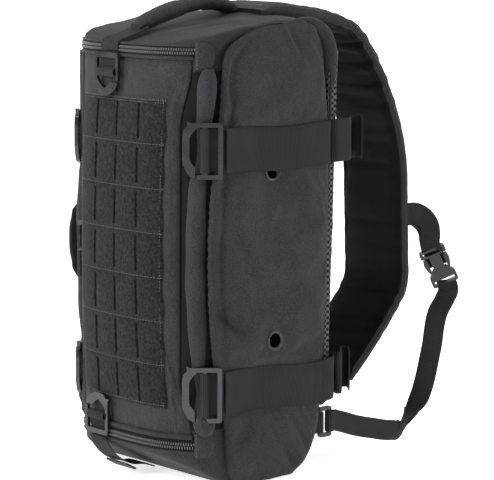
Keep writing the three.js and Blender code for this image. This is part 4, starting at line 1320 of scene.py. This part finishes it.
def build_lower_fixings():
    """Sewn loops that hold the ladder lock and the stabiliser ring, and the stabiliser's webbing."""
    lock = loop_wrap(np.array([0, 129.0, 93.0]), 2.7, (0, 108.5, 93.0), X_AXIS, SIDE_WEB)
    piece("ladder_lock_loop", lock, finish("webbing"), "pack", ["ladder_lock_tab"])
    tab = loop_wrap(np.array([106.0, 107.1, 52.0]), 2.9, (106.0, 97.8, 52.0), Z_AXIS, THIN_WEB)
    piece("stabiliser_ring_tab", tab, finish("webbing"), "pack", ["stabiliser_tab"])
    loop = loop_wrap(np.array([106.0, 122.4, 52.0]), 3.6, (106.0, 134.0, 51.6), Z_AXIS, THIN_WEB)
    piece("stabiliser_ring_loop", loop, finish("webbing"), "pack", ["stabiliser_loop"])
    run = [
        (106, 132, 51.4), (105.6, 146, 47), (105, 160, 42), (103, 200, 31), (102, 228, 24.6),
        (101, 246, 23.4), (99.5, 257, 31),
        (95, 284, 53.7), (89, 312, 113), (84, 329, 160), (82, 343, 175), (81.4, 349.4, 186),
        (80.4, 347.8, 193), (76.8, 349.8, 196.4),
    ]
    sideways = (0.66, 0.75, 0.0)
    wide = [
        (0, 0, 1), (0, 0, 1), (0, 0, 1), (0, 0, 1), (0, 0.1, 1), (0.3, 0.2, 1), (0.6, 0.3, 0.7),
        (0.66, 0.6, 0.2), sideways, sideways,
        (0.65, 0.7, 0.2), (0.64, 0.7, 0.2), sideways, sideways,
    ]
    path = smooth_path(run, 160)
    reach = np.concatenate([[0], np.cumsum(np.linalg.norm(np.diff(np.array(run, float), axis=0), axis=1))])
    at = np.linspace(0, reach[-1], 160)
    across = unit(np.stack([np.interp(at, reach, np.array(wide, float)[:, k]) for k in range(3)], -1))
    body = sweep(path, across, stadium(THIN_WEB, WEB * 1.7))
    piece("stabiliser_strap", body, finish("webbing"), "pack", ["stabiliser_webbing"])
    tail = [(100, 236, 25), (99, 246, 20), (97.5, 256, 21), (96, 266, 30), (94, 274, 40), (92, 278, 46)]
    fold = strap_shape(tail, [(0.2, 0.1, 1), (0.5, 0.2, 0.8), (0.66, 0.4, 0.5)], THIN_WEB, 40)
    piece("stabiliser_tail", fold, finish("webbing"), "pack")
    upper = [
        (54, 300, 284), (59, 311, 284), (63.4, 321, 278), (66.6, 327.4, 268), (68.4, 328.4, 256),
        (68.8, 327.4, 246), (70, 329, 237.4),
        (68.4, 333, 233.2),
    ]
    wide = [(0, 0, 1), (0, 0, 1), (0.3, 0.3, 1), (0.6, 0.6, 0.6), sideways, sideways, sideways, sideways]
    front = strap_shape(upper, wide, THIN_WEB, 64)
    lower = [
        (54, 300, 281), (57, 310, 280), (59, 320, 274), (60, 329, 265), (60.6, 333, 256), (62, 333.6, 246),
        (64.6, 334.4, 237),
        (67.8, 333.8, 232.8),
    ]
    back = strap_shape(lower, wide, THIN_WEB, 64)
    free = [(64.6, 334.4, 237), (62, 338, 240), (60, 341, 236), (61, 344, 226), (64, 347, 214)]
    tail = strap_shape(free, sideways, THIN_WEB, 30)
    piece("buckle_webbing", [front, back, tail], finish("webbing"), "pack", ["buckle_loop"])


# ---- inside ----
def build_inside():
    """Organiser panel against the back and its rows of elastic loops."""
    z = np.linspace(74, 484, 60)[:, None]
    x = np.linspace(-92, 92, 50)[None, :]
    x, z = np.broadcast_arrays(x, z)
    gap = np.minimum(92 - np.abs(x), np.minimum(z - 74, 484 - z))
    rim = np.sqrt(1 - (1 - np.clip(gap / 3, 0, 1)) ** 2)
    near = back_y(z) - 13.5 - 0.4 * rim + 0.4
    shape = slab(np.stack([x, near, z], -1), np.stack([x, back_y(z) - 10.6 + 0 * x, z], -1))
    piece("organiser_fabric", shape, finish("lining"), "pack", ["organiser_panel"])
    for row, place in enumerate(("upper", "middle", "lower")):
        middle = 400.0 - 120.0 * row
        face = float(back_y(middle)) - 14.4
        t = np.linspace(0, 6, 241)
        rise = np.abs(np.sin(math.pi * t)) ** 0.8
        path = np.stack([-87 + 29.0 * t, face - 0.6 - 12.6 * rise, np.full(t.shape, middle)], -1)
        band = sweep(path, Z_AXIS, stadium(38.0, 1.6, 16))
        piece(f"elastic_band_{place}", band, finish("elastic"), "pack", [f"elastic_loops_{place}"])


# ---- finishes on the frame's own hardware ----
BEVELS = {
    "hook_metal": (0.0009, ["top_hook", "bottom_hook", "upper_right_hook", "upper_left_hook",
    "lower_right_hook", "lower_left_hook",
                           "upper_zip_slider", "lower_zip_slider"]),
    "moulded_plastic": (0.0008, ["ladder_lock", "bottom_strap_slider", "stabiliser_ring", "buckle_socket",
    "buckle_plug",
                                 "buckle_prong_near", "buckle_prong_far"]),
    "board": (0.0006, ["frame_sheet"]),
}


def dress_hardware():
    """Finishes for the hardware that the frame already shapes, with small rounds that catch the light."""
    for name, (width, nodes) in BEVELS.items():
        for node in nodes:
            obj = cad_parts[node]
            obj.data.materials.clear()
            obj.data.materials.append(finish(name))
            edge = obj.modifiers.new("round", "BEVEL")
            edge.width = width
            edge.segments = 2
            edge.limit_method = "ANGLE"
            edge.angle_limit = math.radians(35)
            edge.harden_normals = False
            obj.data.shade_smooth()
            obj.data.set_sharp_from_angle(angle=math.radians(40))


# ---- stage ----
def build_stage():
    """A pale floor that curves up behind, three soft lights and the camera."""
    look = bpy.context.scene.sling_pack
    along = smooth_path([(0, -4000, -1), (0, 0, -1), (0, 3000, -1), (0, 4200, 120), (0, 5000, 900),
        (0, 5200, 3000), (0, 5200, 6000)], 60)
    turn = math.radians(CAMERA_AZIMUTH)
    x = np.linspace(-6000, 6000, 30)
    flat = along[:, None] + x[None, :, None] * X_AXIS
    c, s = math.cos(-turn), math.sin(-turn)
    turned = np.stack([c * flat[..., 0] + s * flat[..., 1], -s * flat[..., 0] + c * flat[..., 1],
        flat[..., 2]], -1)
    shape = slab(turned, turned - Z_AXIS * 5)
    piece("studio_floor", shape, finish("paper"), None)
    scene = bpy.context.scene
    scene.view_settings.view_transform = "Standard"
    world = bpy.data.worlds.new("studio")
    scene.world = world
    world.use_nodes = True
    world.node_tree.nodes["Background"].inputs["Color"].default_value = (1, 1, 1, 1)
    world.node_tree.nodes["Background"].inputs["Strength"].default_value = look.sky
    aim = Vector((0, 0.05, 0.28))
    for name, place, size, power in (
        ("key", (1.9, 2.2, 1.7), 0.9, look.key_power),
        ("top", (0.5, -1.0, 2.6), 0.8, look.top_power),
        ("fill", (-0.8, -2.6, 1.6), 2.0, look.fill_power),
    ):
        light = bpy.data.lights.new(name, "AREA")
        light.size = size
        light.energy = power
        lamp = bpy.data.objects.new(name, light)
        lamp.location = place
        lamp.rotation_mode = "QUATERNION"
        lamp.rotation_quaternion = (aim - Vector(place)).to_track_quat("-Z", "Y")
        scene.collection.objects.link(lamp)
    azimuth, elevation, roll = (math.radians(a) for a in (CAMERA_AZIMUTH, CAMERA_ELEVATION, CAMERA_ROLL))
    back = Vector((math.sin(azimuth) * math.cos(elevation), -math.cos(azimuth) * math.cos(elevation),
        math.sin(elevation)))
    right = Vector((math.cos(azimuth), math.sin(azimuth), 0))
    up = back.cross(right)
    right, up = right * math.cos(roll) + up * math.sin(roll), up * math.cos(roll) - right * math.sin(roll)
    camera = bpy.data.objects.new("camera", bpy.data.cameras.new("camera"))
    camera.data.lens = 174.9
    camera.data.sensor_width = 36.0
    camera.data.clip_end = 50.0
    place = (back * 2895.0 + right * 63.4 + up * 268.0) * MM
    turn = Matrix((right, up, back)).transposed().to_4x4()
    camera.matrix_world = Matrix.Translation(place) @ turn
    scene.collection.objects.link(camera)
    scene.camera = camera


# ---- add-on ----
class SlingPackLook(bpy.types.PropertyGroup):
    """Sizes and colours a user would change."""

    weave_pitch: FloatProperty(name="Weave pitch", description="Repeat of the pack cloth's weave",
        default=0.0013, unit="LENGTH")
    tooth_pitch: FloatProperty(name="Tooth pitch", description="Distance between zip coil teeth",
        default=0.003, unit="LENGTH")
    fabric_colour: FloatVectorProperty(name="Pack cloth", description="Colour of the pack cloth",
        default=(0.029, 0.029, 0.031), subtype="COLOR")
    webbing_colour: FloatVectorProperty(name="Webbing", description="Colour of the webbing",
        default=(0.02, 0.02, 0.0214), subtype="COLOR")
    pile_colour: FloatVectorProperty(name="Loop pile", description="Colour of the loop field",
        default=(0.0125, 0.0125, 0.0132), subtype="COLOR")
    # also colours the painted shade strips in the gaps beside the door
    strap_colour: FloatVectorProperty(name="Strap cloth",
        description="Colour of the shoulder strap and linings", default=(0.009, 0.009, 0.0096),
        subtype="COLOR")
    mesh_colour: FloatVectorProperty(name="Air mesh", description="Colour of the spacer mesh",
        default=(0.036, 0.036, 0.038), subtype="COLOR")
    metal_colour: FloatVectorProperty(name="Hook coating", description="Colour of the coated hooks",
        default=(0.055, 0.055, 0.058), subtype="COLOR")
    plastic_colour: FloatVectorProperty(name="Plastic", description="Colour of buckles and coil",
        default=(0.012, 0.012, 0.0128), subtype="COLOR")
    thread_colour: FloatVectorProperty(name="Thread", description="Colour of the sewing thread",
        default=(0.12, 0.12, 0.126), subtype="COLOR")
    sky: FloatProperty(name="Sky", description="Strength of the even light from all round", default=0.3,
        min=0.0)
    key_power: FloatProperty(name="Key light", description="Power of the light at the right rear",
        default=45.0, unit="POWER")
    top_power: FloatProperty(name="Top light", description="Power of the light over the front", default=28.0,
        unit="POWER")
    fill_power: FloatProperty(name="Fill light", description="Power of the light in front", default=90.0,
        unit="POWER")


class BuildOperator:
    """What every building step shares: it runs its list of functions in order."""

    bl_options = {"REGISTER"}
    steps = ()

    def execute(self, context):
        for build in self.steps:
            build()
        return {"FINISHED"}


class SLINGPACK_OT_tub(BuildOperator, bpy.types.Operator):
    """Build the tub's cloth"""

    bl_idname = "slingpack.tub"
    bl_label = "Tub"
    steps = (build_tub,)


class SLINGPACK_OT_lobes(BuildOperator, bpy.types.Operator):
    """Build the side lobes and their eyelets"""

    bl_idname = "slingpack.lobes"
    bl_label = "Side Lobes"
    steps = (build_lobes,)


class SLINGPACK_OT_welts(BuildOperator, bpy.types.Operator):
    """Build the welts beside the door and the hinge bellows"""

    bl_idname = "slingpack.welts"
    bl_label = "Welts and Bellows"
    steps = (build_welts, build_crevices, build_bellows)


class SLINGPACK_OT_door(BuildOperator, bpy.types.Operator):
    """Build the door, its loop field and its pocket"""

    bl_idname = "slingpack.door"
    bl_label = "Door"
    steps = (build_door, build_loop_panel, build_door_pocket)


class SLINGPACK_OT_zips(BuildOperator, bpy.types.Operator):
    """Build the zips, piping, garages and pulls"""

    bl_idname = "slingpack.zips"
    bl_label = "Zips"
    steps = (build_zips,)


class SLINGPACK_OT_straps(BuildOperator, bpy.types.Operator):
    """Build the compression straps and hook webbing"""

    bl_idname = "slingpack.straps"
    bl_label = "Compression Straps"
    steps = (build_side_straps, build_front_hooks)


class SLINGPACK_OT_handles(BuildOperator, bpy.types.Operator):
    """Build the grab handle and the side handle"""

    bl_idname = "slingpack.handles"
    bl_label = "Handles"
    steps = (build_top_handle, build_side_handle)


class SLINGPACK_OT_carry(BuildOperator, bpy.types.Operator):
    """Build the back pad, the shoulder strap and its fixings"""

    bl_idname = "slingpack.carry"
    bl_label = "Back and Shoulder Strap"
    steps = (build_yokes, build_back, build_shoulder_strap, build_lower_fixings)


class SLINGPACK_OT_inside(BuildOperator, bpy.types.Operator):
    """Build the organiser panel and elastic loops"""

    bl_idname = "slingpack.inside"
    bl_label = "Inside"
    steps = (build_inside,)


class SLINGPACK_OT_hardware(BuildOperator, bpy.types.Operator):
    """Finish the hooks, buckles and sliders"""

    bl_idname = "slingpack.hardware"
    bl_label = "Hardware"
    steps = (dress_hardware,)


class SLINGPACK_OT_stage(BuildOperator, bpy.types.Operator):
    """Build the floor, lights and camera"""

    bl_idname = "slingpack.stage"
    bl_label = "Stage"
    steps = (build_stage,)


OPERATORS = (
    SLINGPACK_OT_tub, SLINGPACK_OT_lobes, SLINGPACK_OT_welts, SLINGPACK_OT_door, SLINGPACK_OT_zips,
    SLINGPACK_OT_straps,
    SLINGPACK_OT_handles, SLINGPACK_OT_carry, SLINGPACK_OT_inside, SLINGPACK_OT_hardware, SLINGPACK_OT_stage,
)


class SLINGPACK_PT_panel(bpy.types.Panel):
    """Lists the building steps and the look's settings"""

    bl_idname = "SLINGPACK_PT_panel"
    bl_label = "Sling Pack"
    bl_space_type = "VIEW_3D"
    bl_region_type = "UI"
    bl_category = "Sling Pack"

    def draw(self, context):
        for operator in OPERATORS:
            self.layout.operator(operator.bl_idname)
        for name in SlingPackLook.__annotations__:
            self.layout.prop(context.scene.sling_pack, name)


def register():
    for cls in (SlingPackLook, *OPERATORS, SLINGPACK_PT_panel):
        bpy.utils.register_class(cls)
    bpy.types.Scene.sling_pack = PointerProperty(type=SlingPackLook)


def unregister():
    del bpy.types.Scene.sling_pack
    for cls in (SLINGPACK_PT_panel, *reversed(OPERATORS), SlingPackLook):
        bpy.utils.unregister_class(cls)


def main():
    register()
    for operator in OPERATORS:
        group, name = operator.bl_idname.split(".")
        getattr(getattr(bpy.ops, group), name)()


if __name__ == "__main__":
    main()
